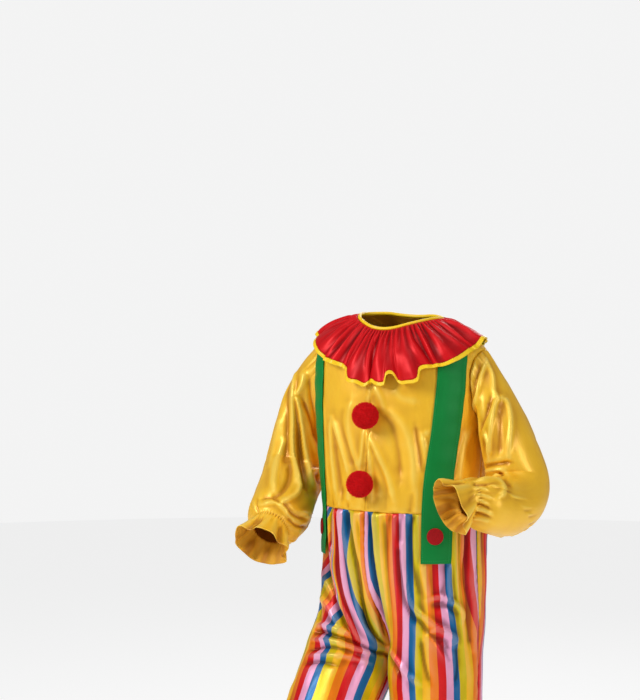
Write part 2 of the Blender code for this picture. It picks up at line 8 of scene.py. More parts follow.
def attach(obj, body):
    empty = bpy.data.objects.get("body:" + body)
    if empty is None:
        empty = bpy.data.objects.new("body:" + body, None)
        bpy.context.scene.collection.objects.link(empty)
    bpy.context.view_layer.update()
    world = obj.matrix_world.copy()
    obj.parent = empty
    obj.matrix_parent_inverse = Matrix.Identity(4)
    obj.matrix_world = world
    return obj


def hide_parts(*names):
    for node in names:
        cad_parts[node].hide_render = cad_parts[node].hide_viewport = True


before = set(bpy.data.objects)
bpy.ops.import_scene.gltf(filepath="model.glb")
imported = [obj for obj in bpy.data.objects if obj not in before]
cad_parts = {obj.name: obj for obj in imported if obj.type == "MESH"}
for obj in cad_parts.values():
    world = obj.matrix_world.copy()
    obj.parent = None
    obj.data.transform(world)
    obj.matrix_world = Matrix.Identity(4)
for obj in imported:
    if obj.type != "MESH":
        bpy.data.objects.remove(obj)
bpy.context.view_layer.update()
bpy.ops.object.select_all(action="DESELECT")
print("frame loaded:", len(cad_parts), "nodes")

# A clown's one-piece costume, as it stands when it is worn. Metres, in the CAD's
# frame: +X is the wearer's left, -Y the front, +Z up. Every sewn piece is a grid
# of points on the same form as its CAD node, creased, and then given its wall.

# Camera, light and floor.
view = {
    "azimuth": 30.0, "distance": 3.5, "across": -0.198, "up": -0.079,
    "lens": 75.4, "sensor": 36.0, "wide": 640.0, "high": 700.0,
}
viewTurn = math.radians(view["azimuth"])
viewRight = np.array((math.cos(viewTurn), math.sin(viewTurn), 0.0))
viewUp = np.array((0.0, 0.0, 1.0))
viewBack = np.array((math.sin(viewTurn), -math.cos(viewTurn), 0.0))
viewPlace = viewBack * view["distance"] + viewRight * view["across"] + viewUp * view["up"]


def seenAt(points):
    # Where the camera sees points, in pixels from the picture's upper left corner.
    away = points - viewPlace
    depth = -(away @ viewBack)
    zoom = view["lens"] / view["sensor"] * view["high"]
    across = view["wide"] / 2 + zoom * (away @ viewRight) / depth
    return np.stack([across, view["high"] / 2 - zoom * (away @ viewUp) / depth], -1)


studio = {
    "floor": -1.50,
    "floorReach": 9.0,
    "aim": (0.0, 0.0, -0.55),
    "key": {"place": (-1.5, -2.5, 1.2), "size": (0.7, 1.5), "power": 68.0},
    "fill": {"place": (2.9, -1.0, 0.5), "size": (0.5, 1.7), "power": 30.0},
    "back": {"place": (-0.8, 2.8, 1.4), "size": (1.6, 1.8), "power": 32.0},
    "top": {"place": (0.3, -0.6, 2.1), "size": (1.2, 1.2), "power": 12.0},
    "world": 0.22,
    "backdrop": 0.90,
    # The floor's own light, as it falls on the costume and as the camera sees it.
    "floorGlow": 0.34,
    "floorShown": 0.79,
    "floorColours": ((0.86, 0.86, 0.86), (0.90, 0.90, 0.90)),
    "floorSeen": (0.22, 0.22, 0.22),
}
white = (1.0, 1.0, 1.0, 1.0)


def makeStudio():
    bpy.ops.object.camera_add(location=viewPlace, rotation=(math.pi / 2, 0.0, viewTurn))
    camera = bpy.context.object
    camera.name = "camera"
    camera.data.lens = view["lens"]
    bpy.context.scene.camera = camera
    bpy.context.scene.view_settings.view_transform = "Standard"  # keeps the satins' strong colours
    for name in ("key", "fill", "back", "top"):
        lamp = studio[name]
        aim = Vector(studio["aim"]) - Vector(lamp["place"])
        turn = aim.to_track_quat("-Z", "Y").to_euler()
        bpy.ops.object.light_add(type="AREA", location=lamp["place"], rotation=turn)
        light = bpy.context.object
        light.name = name + "Light"
        light.data.shape = "RECTANGLE"
        light.data.size, light.data.size_y = lamp["size"]
        light.data.energy = lamp["power"]
    world = bpy.data.worlds.new("studioWorld")
    world.use_nodes = True
    nodes, links = world.node_tree.nodes, world.node_tree.links
    nodes["Background"].inputs["Color"].default_value = white
    nodes["Background"].inputs["Strength"].default_value = studio["world"]
    behind = nodes.new("ShaderNodeBackground")
    behind.inputs["Color"].default_value = white
    behind.inputs["Strength"].default_value = studio["backdrop"]
    rays = nodes.new("ShaderNodeLightPath")
    both = nodes.new("ShaderNodeMixShader")
    links.new(rays.outputs["Is Camera Ray"], both.inputs["Fac"])
    links.new(nodes["Background"].outputs["Background"], both.inputs[1])
    links.new(behind.outputs["Background"], both.inputs[2])
    links.new(both.outputs["Shader"], nodes["World Output"].inputs["Surface"])
    bpy.context.scene.world = world
    place = (0.0, 0.0, studio["floor"])
    reach = studio["floorReach"]
    bpy.ops.mesh.primitive_circle_add(vertices=96, radius=reach, fill_type="NGON", location=place)
    floor = bpy.context.object
    floor.name = "floor"
    paint = Finish("floorPaint")
    speck = paint.noise(paint.place(), 3.0, 3.0)
    seen = paint.node("ShaderNodeLightPath", {}, {}, "Is Camera Ray")
    glow, shown = ((studio[key],) * 3 for key in ("floorGlow", "floorShown"))
    paint.set({
        "Base Color": paint.blend(seen, paint.blend(speck, *studio["floorColours"]), studio["floorSeen"]),
        "Roughness": 0.75,
        "Emission Color": paint.blend(seen, glow, shown),
        "Emission Strength": 1.0,
    })
    floor.data.materials.append(paint.material)


# Shader expressions.


class Value:
    def __init__(self, finish, socket):
        self.finish = finish
        self.socket = socket

    def maths(self, operation, first, second):
        return self.finish.node("ShaderNodeMath", {"operation": operation}, {0: first, 1: second})

    def __add__(self, other):
        return self.maths("ADD", self, other)

    def __sub__(self, other):
        return self.maths("SUBTRACT", self, other)

    def __rsub__(self, other):
        return self.maths("SUBTRACT", other, self)

    def __mul__(self, other):
        return self.maths("MULTIPLY", self, other)

    def __truediv__(self, other):
        return self.maths("DIVIDE", self, other)

    def __mod__(self, other):
        return self.maths("FLOORED_MODULO", self, other)

    def __pow__(self, other):
        return self.maths("POWER", self, other)

    __radd__ = __add__
    __rmul__ = __mul__


class Finish:
    # One material, and what its nodes are made with.
    def __init__(self, name):
        self.material = bpy.data.materials.new(name)
        self.material.use_nodes = True
        self.tree = self.material.node_tree
        self.shader = self.tree.nodes["Principled BSDF"]

    def put(self, socket, value):
        if isinstance(value, Value):
            self.tree.links.new(value.socket, socket)
        elif isinstance(value, tuple) and len(value) == 3 and socket.type == "RGBA":
            socket.default_value = (*value, 1.0)
        else:
            socket.default_value = value

    def node(self, kind, settings, inputs, output=0):
        made = self.tree.nodes.new(kind)
        for name, value in settings.items():
            if name == "stops":
                ramp = made.color_ramp
                while len(ramp.elements) < len(value):
                    ramp.elements.new(0.5)
                for stop, (place, colour) in zip(ramp.elements, value):
                    stop.position = place
                    stop.color = (*colour, 1.0)
            else:
                setattr(made, name, value)
        for key, value in inputs.items():
            self.put(made.inputs[key], value)
        return Value(self, made.outputs[output])

    def set(self, inputs):
        for key, value in inputs.items():
            self.put(self.shader.inputs[key], value)

    def place(self):
        return self.node("ShaderNodeTexCoord", {}, {}, "Object")

    def cloth(self):
        return self.node("ShaderNodeUVMap", {"uv_map": "cloth"}, {})

    def stretch(self, vector, scale):
        return self.node("ShaderNodeVectorMath", {"operation": "MULTIPLY"}, {0: vector, 1: scale})

    def axis(self, vector, name):
        return self.node("ShaderNodeSeparateXYZ", {}, {0: vector}, name)

    def noise(self, vector, scale, detail, distortion=0.0):
        inputs = {"Vector": vector, "Scale": scale, "Detail": detail, "Distortion": distortion}
        return self.node("ShaderNodeTexNoise", {}, inputs, "Fac")

    def blend(self, share, first, second, way="MIX"):
        settings = {"data_type": "RGBA", "blend_type": way}
        return self.node("ShaderNodeMix", settings, {0: share, 6: first, 7: second}, 2)

    def ramp(self, share, stops, way="LINEAR"):
        made = self.node("ShaderNodeValToRGB", {"stops": stops}, {"Fac": share})
        made.socket.node.color_ramp.interpolation = way
        return made

    def bump(self, height, strength, distance):
        inputs = {"Strength": strength, "Distance": distance, "Height": height}
        return self.node("ShaderNodeBump", {}, inputs, "Normal")


# Numbers and tables.


def smooth(value):
    value = np.clip(value, 0.0, 1.0)
    return value * value * (3.0 - 2.0 * value)


def mix(first, second, share):
    return first + (second - first) * share


def readRows(rows, value):
    # The other columns at values of the first, on a smooth curve through the rows.
    keys = rows[:, 0]
    last = len(rows) - 1
    index = np.clip(np.searchsorted(keys, value, side="right") - 1, 0, last - 1)
    first, second = rows[index], rows[index + 1]
    before, after = rows[np.maximum(index - 1, 0)], rows[np.minimum(index + 2, last)]
    span = (second - first)[..., :1]
    h = np.clip((value - keys[index])[..., None] / span, 0.0, 1.0)
    slopeFirst = (second - before) / (second - before)[..., :1]
    slopeSecond = (after - first) / (after - first)[..., :1]
    result = (2 * h**3 - 3 * h**2 + 1) * first + (h**3 - 2 * h**2 + h) * span * slopeFirst
    result = result + (3 * h**2 - 2 * h**3) * second + (h**3 - h**2) * span * slopeSecond
    return np.moveaxis(result[..., 1:], -1, 0)


def unit(vectors):
    return vectors / np.maximum(np.linalg.norm(vectors, axis=-1, keepdims=True), 1e-12)


# The trunk's form, which the bodice, collar, braces and hips share.

trunkSize = {
    "shoulderHalf": 0.215, "shoulderDrop": 0.064, "shoulderRoll": 0.120, "slopeFade": 0.30,
    "neckHalf": 0.100, "neckFront": 0.102, "neckBack": 0.052, "neckInset": 0.0068,
    "tilt": 0.065, "tiltFade": 0.42, "levelHalf": 0.05,
    "armpitBelow": 0.270, "waistBelow": 0.450, "armholeBite": math.radians(19.0), "fullness": 2.3,
    "sideShare": 5 / 14, "neckShare": 4 / 7,
}

# Down, half width, front, back, turn, shift.
trunkRows = np.array((
    (0.000, 0.215, 0.138, 0.120, 0.0, 0.000),
    (0.100, 0.214, 0.143, 0.125, 0.0, 0.000),
    (0.190, 0.213, 0.152, 0.130, 0.0, 0.000),
    (0.260, 0.212, 0.158, 0.134, -1.0, 0.000),
    (0.340, 0.211, 0.160, 0.137, -3.0, 0.002),
    (0.430, 0.207, 0.162, 0.139, -6.5, 0.005),
    (0.5185, 0.200, 0.163, 0.141, -8.5, 0.007),
    (0.620, 0.202, 0.163, 0.148, -8.5, 0.006),
    (0.760, 0.209, 0.160, 0.152, -8.0, 0.000),
    (0.870, 0.214, 0.155, 0.150, -8.0, -0.004),
))


def downAt(below):
    return below + trunkSize["shoulderRoll"] * (math.pi / 2 - 1.0)


waistDown = downAt(trunkSize["waistBelow"])
armpitDown = downAt(trunkSize["armpitBelow"])


def shoulderSlope(x):
    level = trunkSize["levelHalf"]

    def rise(value):
        return (np.maximum(np.abs(value) - level, 0.0) / (trunkSize["shoulderHalf"] - level)) ** 1.5

    neck = rise(trunkSize["neckHalf"])
    return -trunkSize["shoulderDrop"] * (rise(x) - neck) / (1.0 - neck)


def trunk(angle, down):
    half, front, back, turn, shift = readRows(trunkRows, down)
    side = np.sin(angle)
    fore = np.maximum(1.0 - np.abs(side) ** trunkSize["fullness"], 0.0) ** (1.0 / trunkSize["fullness"])
    depth = np.where(np.cos(angle) > 0, -front * fore, back * fore)
    radius = trunkSize["shoulderRoll"]
    roll = np.minimum(down / radius, math.pi / 2)
    x = half * side
    y = depth * np.sin(roll)
    z = shoulderSlope(x) * (1.0 - smooth(down / trunkSize["slopeFade"]))
    z = z - trunkSize["tilt"] * x * (1.0 - smooth(down / trunkSize["tiltFade"]))
    z = z - radius * (1.0 - np.cos(roll))
    z = z - np.maximum(down - radius * math.pi / 2, 0.0)
    spin = np.radians(turn)
    turned = x * np.cos(spin) - y * np.sin(spin) + shift
    return np.stack([turned, x * np.sin(spin) + y * np.cos(spin), z], -1)


def trunkAngle(x, down, front):
    angle = np.arcsin(np.clip(x / readRows(trunkRows, down)[0], -1.0, 1.0))
    return np.where(front, angle, math.pi - angle)


def trunkNormal(angle, down):
    step = 0.004
    across = trunk(angle + step, down) - trunk(angle - step, down)
    along = trunk(angle, down + step) - trunk(angle, np.maximum(down - step, 0.0))
    return unit(np.cross(along, across))


# The braces' path, and how they press what lies under them flat.
braceLine = {
    "onShoulder": 0.160, "onChest": 0.171, "chestDown": 0.16,
    "drawIn": 0.012, "drawStart": 0.20, "drawFade": 0.34,
    "pressHalf": 0.036, "pressFade": 0.011, "pressed": (-0.0010, 0.0008),
}


def braceCentre(down):
    outward = mix(braceLine["onShoulder"], braceLine["onChest"], smooth(down / braceLine["chestDown"]))
    return outward - braceLine["drawIn"] * smooth((down - braceLine["drawStart"]) / braceLine["drawFade"])


def underBrace(lift, angle, down):
    x = np.abs(readRows(trunkRows, down)[0] * np.sin(angle))
    near = smooth((braceLine["pressHalf"] - np.abs(x - braceCentre(down))) / braceLine["pressFade"])
    return mix(lift, np.clip(lift, *braceLine["pressed"]), near)


# Bodice panels: across runs from the centre seam to the side seam and armhole,
# up from the waist to the neckline and shoulder seam.


def outerEdge(up):
    share = np.clip((up - trunkSize["sideShare"]) / (1.0 - trunkSize["sideShare"]), 0.0, 1.0)
    angle = math.pi / 2 - trunkSize["armholeBite"] * np.maximum(np.sin(math.pi * share), 0.0) ** 0.8
    low = up <= trunkSize["sideShare"]
    down = np.where(low, mix(waistDown, armpitDown, up / trunkSize["sideShare"]), armpitDown * (1.0 - share))
    return np.where(low, math.pi / 2, angle), down


def topEdge(neck, across):
    half = trunkSize["neckHalf"] + trunkSize["neckInset"]
    turn = np.minimum(across / trunkSize["neckShare"], 1.0) * math.pi / 2
    down = neck * np.cos(turn)
    onNeck = np.arcsin(half * np.sin(turn) / readRows(trunkRows, down)[0])
    start = math.asin(half / trunkRows[0, 1])
    past = (across - trunkSize["neckShare"]) / (1.0 - trunkSize["neckShare"])
    inside = across <= trunkSize["neckShare"]
    return np.where(inside, onNeck, mix(start, math.pi / 2, past)), np.where(inside, down, 0.0)


def bodiceSpot(front, sign, across, up):
    # Angle and way down on the trunk.
    neck = trunkSize["neckFront" if front else "neckBack"] + trunkSize["neckInset"]
    top = topEdge(neck, across)
    outer = outerEdge(up)
    inner = (0.0 * up, mix(waistDown, neck, up))
    bottom = (across * math.pi / 2, waistDown + 0.0 * across)
    corners = ((0.0, waistDown), (math.pi / 2, waistDown), (0.0, neck), (math.pi / 2, 0.0))
    place = []
    for k in range(2):
        blend = mix(bottom[k], top[k], up) + mix(inner[k], outer[k], across)
        lower = mix(corners[0][k], corners[1][k], across)
        upper = mix(corners[2][k], corners[3][k], across)
        place.append(blend - mix(lower, upper, up))
    angle = place[0] if front else math.pi - place[0]
    return angle * sign, np.maximum(place[1], 0.0)


def bodicePoint(front, sign, across, up):
    return trunk(*bodiceSpot(front, sign, across, up))


# Sleeves: around starts at the armpit, passes the front, and is 0.5 at the
# shoulder. Stations run from 0 at the upper arm to 5 at the elastic and 6 at the
# frill's edge: centre, half width out from the body and half width to the front.

sleeveRows = {
    "left": np.array((
        (0.0, 0.272, -0.026, -0.264, 0.058, 0.070),
        (1.0, 0.290, -0.022, -0.325, 0.066, 0.073),
        (2.0, 0.306, -0.022, -0.382, 0.070, 0.073),
        (3.0, 0.312, -0.074, -0.420, 0.069, 0.068),
        (4.0, 0.302, -0.147, -0.423, 0.066, 0.064),
        (4.6, 0.286, -0.195, -0.411, 0.058, 0.057),
        (5.0, 0.272, -0.222, -0.402, 0.039, 0.041),
        (6.0, 0.246, -0.264, -0.416, 0.060, 0.064),
    )),
    "right": np.array((
        (0.0, -0.279, -0.002, -0.254, 0.060, 0.070),
        (1.0, -0.290, -0.004, -0.325, 0.066, 0.074),
        (2.0, -0.294, -0.020, -0.382, 0.071, 0.078),
        (3.0, -0.276, -0.084, -0.437, 0.073, 0.076),
        (4.0, -0.262, -0.142, -0.474, 0.072, 0.072),
        (4.6, -0.256, -0.172, -0.488, 0.064, 0.066),
        (5.0, -0.253, -0.194, -0.498, 0.046, 0.046),
        (6.0, -0.252, -0.238, -0.535, 0.068, 0.068),
    )),
}
sleeveFull = {"left": 0.30, "right": 1.0}
sideSign = {"left": 1.0, "right": -1.0}


def armholePoint(side, around):
    share = np.where(around <= 0.5, around * 2.0, (1.0 - around) * 2.0)
    up = mix(trunkSize["sideShare"], 1.0, share)
    ones = np.ones_like(up)
    front = bodicePoint(True, sideSign[side], ones, up)
    back = bodicePoint(False, sideSign[side], ones, up)
    return np.where((around <= 0.5)[..., None], front, back)


def sleeveCentre(side, station):
    return np.moveaxis(readRows(sleeveRows[side], station)[:3], 0, -1)


def sleeveFrame(side, station):
    before = sleeveCentre(side, np.maximum(station - 0.35, 0.0))
    after = sleeveCentre(side, np.minimum(station + 0.35, 6.0))
    axis = unit(after - before)
    out = np.array((sideSign[side], 0.0, 0.0)) - axis * axis[..., :1] * sideSign[side]
    out = unit(out)
    return axis, out, np.cross(axis, out) * sideSign[side]


def sleeveRing(side, around, station):
    x, y, z, wide, fore = readRows(sleeveRows[side], station)
    out, front = sleeveFrame(side, station)[1:]
    turn = around * 2.0 * math.pi
    centre = np.stack([x, y, z], -1)
    return centre - out * (wide * np.cos(turn))[..., None] + front * (fore * np.sin(turn))[..., None]


def sleeveHead(side, around, share):
    start = armholePoint(side, around)
    end = sleeveRing(side, around, np.zeros_like(around))
    reach = np.linalg.norm(end - start, axis=-1)
    upper = 0.5 - 0.5 * np.cos(around * 2.0 * math.pi)
    full = (mix(0.9, sleeveFull[side], upper) * reach)[..., None]
    across = mix(0.80, 0.76, upper) * sideSign[side]
    leave = np.stack([across, 0.0 * across, -mix(0.60, 0.65, upper)], -1) * full
    arrive = sleeveFrame(side, np.zeros_like(around))[0] * full
    h = share[..., None]
    first = (2 * h**3 - 3 * h**2 + 1) * start + (h**3 - 2 * h**2 + h) * leave
    return first + (3 * h**2 - 2 * h**3) * end + (h**3 - h**2) * arrive


# Trousers: across runs from the centre or inside leg seam to the side seam.
# Sections of each leg: below, x, y, half width, half depth.

legRows = {
    "left": np.array((
        (0.450, 0.100, 0.000, 0.100, 0.120),
        (0.620, 0.100, 0.004, 0.103, 0.128),
        (0.800, 0.098, -0.020, 0.106, 0.114),
        (0.950, 0.102, -0.022, 0.104, 0.108),
        (1.080, 0.108, -0.010, 0.100, 0.104),
        (1.220, 0.114, 0.012, 0.092, 0.098),
        (1.310, 0.117, 0.024, 0.084, 0.088),
        (1.357, 0.119, 0.028, 0.050, 0.055),
        (1.400, 0.120, 0.026, 0.080, 0.084),
    )),
    "right": np.array((
        (0.450, -0.100, 0.000, 0.100, 0.120),
        (0.620, -0.104, -0.006, 0.103, 0.128),
        (0.800, -0.112, -0.050, 0.106, 0.114),
        (0.900, -0.124, -0.104, 0.105, 0.108),
        (1.010, -0.138, -0.152, 0.102, 0.106),
        (1.130, -0.150, -0.156, 0.096, 0.102),
        (1.250, -0.158, -0.134, 0.090, 0.094),
        (1.310, -0.163, -0.122, 0.084, 0.088),
        (1.357, -0.166, -0.114, 0.050, 0.055),
        (1.400, -0.168, -0.108, 0.080, 0.084),
    )),
}
legSize = {
    "crotchBelow": 0.800, "ankleBelow": 1.330, "elasticBelow": 1.357, "hemBelow": 1.400,
    "tiltBelow": 0.68, "tiltFade": 0.22, "seamFade": 0.16,
}

# The largest folds, as in the CAD: across, top, bottom, width, depth, drift.
legFolds = {
    (True, "left"): (
        (0.16, 0.47, 0.79, 0.10, 0.008, -0.06),
        (0.55, 0.46, 1.00, 0.10, 0.009, -0.10),
        (0.86, 0.50, 1.28, 0.09, 0.007, -0.04),
        (0.40, 0.86, 1.32, 0.11, 0.008, 0.14),
    ),
    (True, "right"): (
        (0.62, 0.47, 0.84, 0.10, 0.010, -0.46),
        (0.86, 0.52, 0.98, 0.10, 0.010, -0.42),
        (0.28, 0.46, 0.74, 0.09, 0.007, -0.14),
        (0.60, 0.98, 1.32, 0.11, 0.008, 0.10),
    ),
    (False, "left"): (
        (0.30, 0.48, 0.86, 0.10, 0.008, 0.10),
        (0.70, 0.50, 1.10, 0.11, 0.008, -0.06),
        (0.42, 0.96, 1.30, 0.11, 0.008, 0.08),
    ),
    (False, "right"): (
        (0.34, 0.48, 0.84, 0.10, 0.008, 0.12),
        (0.74, 0.50, 1.06, 0.11, 0.008, -0.08),
        (0.46, 1.00, 1.31, 0.11, 0.008, 0.06),
    ),
}


def legCentre(side, below):
    x, y = readRows(legRows[side], below)[:2]
    return np.stack([x, y, -below], -1)


def legRing(front, side, across, below):
    x, y, wide, deep = readRows(legRows[side], below)
    before = legCentre(side, np.maximum(below - 0.03, trunkSize["waistBelow"]))
    after = legCentre(side, np.minimum(below + 0.03, legSize["hemBelow"]))
    tilt = smooth((below - legSize["tiltBelow"]) / legSize["tiltFade"])[..., None]
    axis = unit(mix(np.array((0.0, 0.0, -1.0)), unit(after - before), tilt))
    out = unit(np.array((sideSign[side], 0.0, 0.0)) - axis * axis[..., :1] * sideSign[side])
    fore = np.cross(axis, out) * sideSign[side]
    angle = (across - 0.5) * math.pi
    reach = np.cos(angle) * (1.0 if front else -1.0)
    centre = np.stack([x, y, -below], -1)
    return centre + out * (wide * np.sin(angle))[..., None] + fore * (deep * reach)[..., None]


def hipBlend(front, side, across, below):
    waist, crotch = trunkSize["waistBelow"], legSize["crotchBelow"]
    share = np.clip((below - waist) / (crotch - waist), 0.0, 1.0)
    angle = across * math.pi / 2
    if not front:
        angle = math.pi - angle
    hip = trunk(angle * sideSign[side], downAt(np.minimum(below, crotch)))
    return mix(hip, legRing(front, side, across, below), (smooth(share**1.8) ** 1.3)[..., None])


def trouserPoint(front, side, across, below):
    other = "right" if side == "left" else "left"
    point = hipBlend(front, side, across, below)
    zero = np.zeros_like(across)
    atSeam = hipBlend(front, other, zero, below) - hipBlend(front, side, zero, below)
    crotch = np.full_like(across, legSize["crotchBelow"])
    atCrotch = legRing(front, other, zero, crotch) - legRing(front, side, zero, crotch)
    fade = 1.0 - smooth((below - legSize["crotchBelow"]) / legSize["seamFade"])
    above = (below < legSize["crotchBelow"])[..., None]
    shift = np.where(above, atSeam, atCrotch * fade[..., None])
    return point + shift * (0.5 * (1.0 - across) ** 2)[..., None]


def legFoldDepth(folds, across, below):
    total = np.zeros_like(across)
    for middle, top, bottom, width, depth, drift in folds:
        share = np.clip((below - top) / (bottom - top), 0.0, 1.0)
        near = np.exp(-(((across - middle - drift * share) / width) ** 2))
        total += depth * near * np.maximum(np.sin(math.pi * share), 0.0) ** 0.6
    return total * smooth(across / 0.12) * smooth((1.0 - across) / 0.12)


# Creases. Each is a line through a few points, with a half width, the height at
# its two ends (a trough where that is below zero) and how much one side is
# steeper than the other.


def softLine(points):
    points = np.array(points, float)
    if len(points) == 2:
        return mix(points[0], points[1], np.linspace(0.0, 1.0, 5)[:, None])
    rows = np.column_stack([np.arange(len(points)), points])
    return readRows(rows, np.linspace(0.0, len(points) - 1.0, 6 * len(points) - 5)).T


def creaseHeight(places, creases):
    spots = places.reshape(-1, 2)
    total = np.zeros(len(spots))
    for path, width, start, end, skew in creases:
        line = softLine(path)
        reach = width * 3.0
        near = np.nonzero(((spots > line.min(0) - reach) & (spots < line.max(0) + reach)).all(1))[0]
        if not len(near):
            continue
        spot = spots[near]
        best = np.full(len(near), 1e9)
        lean = np.zeros(len(near))
        share = np.zeros(len(near))
        for k in range(len(line) - 1):
            step = line[k + 1] - line[k]
            along = np.clip((spot - line[k]) @ step / (step @ step), 0.0, 1.0)
            offset = spot - line[k] - along[:, None] * step
            distance = np.hypot(offset[:, 0], offset[:, 1])
            closer = distance < best
            turned = np.sign(step[0] * offset[:, 1] - step[1] * offset[:, 0])
            best = np.where(closer, distance, best)
            lean = np.where(closer, turned, lean)
            share = np.where(closer, (k + along) / (len(line) - 1), share)
        wide = width * (1.0 + skew * lean)
        ends = smooth(share / 0.15) * smooth((1.0 - share) / 0.15)
        height = mix(start, end, share) * mix(1.0, ends, 0.6)
        total[near] += height * np.exp(-((best / wide) ** 2 + 0.01) ** 0.72)
    return total.reshape(places.shape[:-1])


def randomCreases(seed, count, box, lean, length, width, height, curve=0.25):
    # Creases of one kind scattered over a box of left, right, top and bottom.
    dice = np.random.default_rng(seed)
    creases = []
    for k in range(count):
        x = box[0] + (box[1] - box[0]) * (k + dice.uniform(0.15, 0.85)) / count
        y = dice.uniform(box[2], box[3])
        size = length * dice.uniform(0.6, 1.4)
        turn = math.radians(lean + dice.normal(0.0, 9.0))
        end = (x + math.sin(turn) * size, y + math.cos(turn) * size)
        bend = dice.uniform(-curve, curve) * size * 0.5
        middle = ((x + end[0]) / 2 + bend * math.cos(turn), (y + end[1]) / 2 - bend * math.sin(turn))
        tall = height * dice.uniform(0.5, 1.3) * (1.0 if dice.random() < 0.62 else -1.0)
        wide, last = width * dice.uniform(0.7, 1.4), tall * dice.uniform(0.2, 0.8)
        creases.append((((x, y), middle, end), wide, tall, last, dice.uniform(-0.35, 0.35)))
    return creases


def scattered(seed, kinds):
    # Kinds of crease: seed shift, count, box, lean, length, width, height.
    creases = []
    for shift, *kind in kinds:
        creases += randomCreases(seed + shift, *kind)
    return creases


def gathers(seed, count, left, right, top, length, width, height):
    # Small folds that start at a gathered edge and die out away from it.
    dice = np.random.default_rng(seed)
    creases = []
    for k in range(count):
        x = left + (right - left) * (k + 0.5 + dice.uniform(-0.35, 0.35)) / count
        size = length * dice.uniform(0.35, 1.5)
        drift = dice.normal(0.0, 0.10) * size
        tall = height * dice.uniform(0.45, 1.3) * (1.0 if k % 2 else -1.0)
        path = ((x, top), (x + drift * 0.3, top + size * 0.5), (x + drift, top + size))
        creases.append((path, width * dice.uniform(0.7, 1.35), tall, tall * 0.15, dice.uniform(-0.3, 0.3)))
    return creases


def ripple(points, size, seed):
    # Soft unevenness, from -1 to 1, over features of about that size.
    shift = Vector((seed * 7.3, seed * 3.1, seed * 5.7))
    flat = points.reshape(-1, 3) / size
    made = [noise.noise(Vector(point) + shift) for point in flat]
    return np.array(made).reshape(points.shape[:-1])


def uneven(points, waves):
    # Waves of unevenness: height, size, seed.
    return sum(height * ripple(points, size, seed) for height, size, seed in waves)


# Grids of points.


def gridNormals(points, closed, flip):
    if closed:
        across = np.roll(points, -1, 1) - np.roll(points, 1, 1)
    else:
        across = np.gradient(points, axis=1)
    along = np.gradient(points, axis=0)
    return unit(np.cross(across, along)) * (-1.0 if flip else 1.0)


def runLength(points, axis):
    steps = np.linalg.norm(np.diff(points, axis=axis), axis=-1)
    first = np.zeros_like(np.take(steps, [0], axis=axis))
    return np.concatenate([first, np.cumsum(steps, axis=axis)], axis=axis)


seam = {"depth": 0.0011, "reach": 0.0035, "pucker": 0.0013, "puckerSize": 0.011, "puckerReach": 0.012}


def seamDip(distance, points, seed):
    # The cloth rolls in to its seam, and puckers beside the stitches.
    pucker = ripple(points, seam["puckerSize"], seed) * seam["pucker"]
    pucker *= np.exp(-((distance / seam["puckerReach"]) ** 2))
    return -seam["depth"] * np.exp(-((distance / seam["reach"]) ** 2)) + pucker


def foldShade(points, lift, closed, reach=0.011, full=0.0022):
    # How far each point stands off the cloth around it, as a share of full: above
    # zero on a ridge. The satins paint shade into their colour where it is below
    # zero and a painted highlight where it is above.
    soft = lift
    for axis in range(2):
        size = np.linalg.norm(np.diff(points, axis=axis), axis=-1).mean()
        half = max(int(round(reach / size)), 1)
        wrap = closed and axis == 1
        pad = [(half, half) if k == axis else (0, 0) for k in range(2)]
        for _ in range(2):
            wide = np.pad(soft, pad, mode="wrap" if wrap else "edge")
            total = np.cumsum(wide, axis=axis)
            total = np.concatenate([np.zeros_like(np.take(total, [0], axis=axis)), total], axis=axis)
            count = soft.shape[axis]
            upper = np.take(total, np.arange(count) + 2 * half + 1, axis=axis)
            lower = np.take(total, np.arange(count), axis=axis)
            soft = (upper - lower) / (2 * half + 1)
    return np.clip((lift - soft) / full, -1.0, 1.0)


def addMesh(name, points, faces, finishes, corners=None):
    # corners holds the place on the cloth of each face's corners.
    mesh = bpy.data.meshes.new(name)
    mesh.from_pydata(points.reshape(-1, 3).tolist(), [], faces.tolist())
    if corners is not None:
        layer = mesh.uv_layers.new(name="cloth")
        layer.data.foreach_set("uv", corners.astype(np.float32).ravel())
    for finish in finishes:
        mesh.materials.append(finish)
    mesh.shade_smooth()
    piece = bpy.data.objects.new(name, mesh)
    bpy.context.scene.collection.objects.link(piece)
    return piece


def pick(*pieces):
    bpy.ops.object.select_all(action="DESELECT")
    for piece in pieces:
        piece.select_set(True)
    bpy.context.view_layer.objects.active = pieces[0]


def buildSheet(name, points, flat, closed, flip, wall, finishes, fold=None):
    # A thin shell on a grid. flat holds each point's place on the uncut cloth.
    rows, columns = points.shape[:2]
    spans = columns if closed else columns - 1
    i, j = np.meshgrid(np.arange(rows - 1), np.arange(spans), indexing="ij")
    i, j = i.ravel(), j.ravel()
    k = (j + 1) % columns
    faces = np.stack([i * columns + j, i * columns + k, (i + 1) * columns + k, (i + 1) * columns + j], 1)
    corners = np.stack([flat[i, j], flat[i, j + 1], flat[i + 1, j + 1], flat[i + 1, j]], 1)
    if flip:
        faces, corners = faces[:, ::-1], corners[:, ::-1]
    piece = addMesh(name, points, faces, finishes, corners)
    # The fold attribute tells the satins where to paint shade and where to paint a highlight.
    if fold is not None:
        shade = piece.data.attributes.new("fold", "FLOAT", "POINT")
        shade.data.foreach_set("value", fold.astype(np.float32).ravel())
    shell = piece.modifiers.new("wall", "SOLIDIFY")
    shell.thickness = wall
    shell.offset = 0.0
    shell.material_offset = len(finishes) - 1
    pick(piece)
    bpy.ops.object.modifier_apply(modifier="wall")
    piece.select_set(False)
    return piece


def standFor(piece, node):
    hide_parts(node)
    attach(piece, "root")
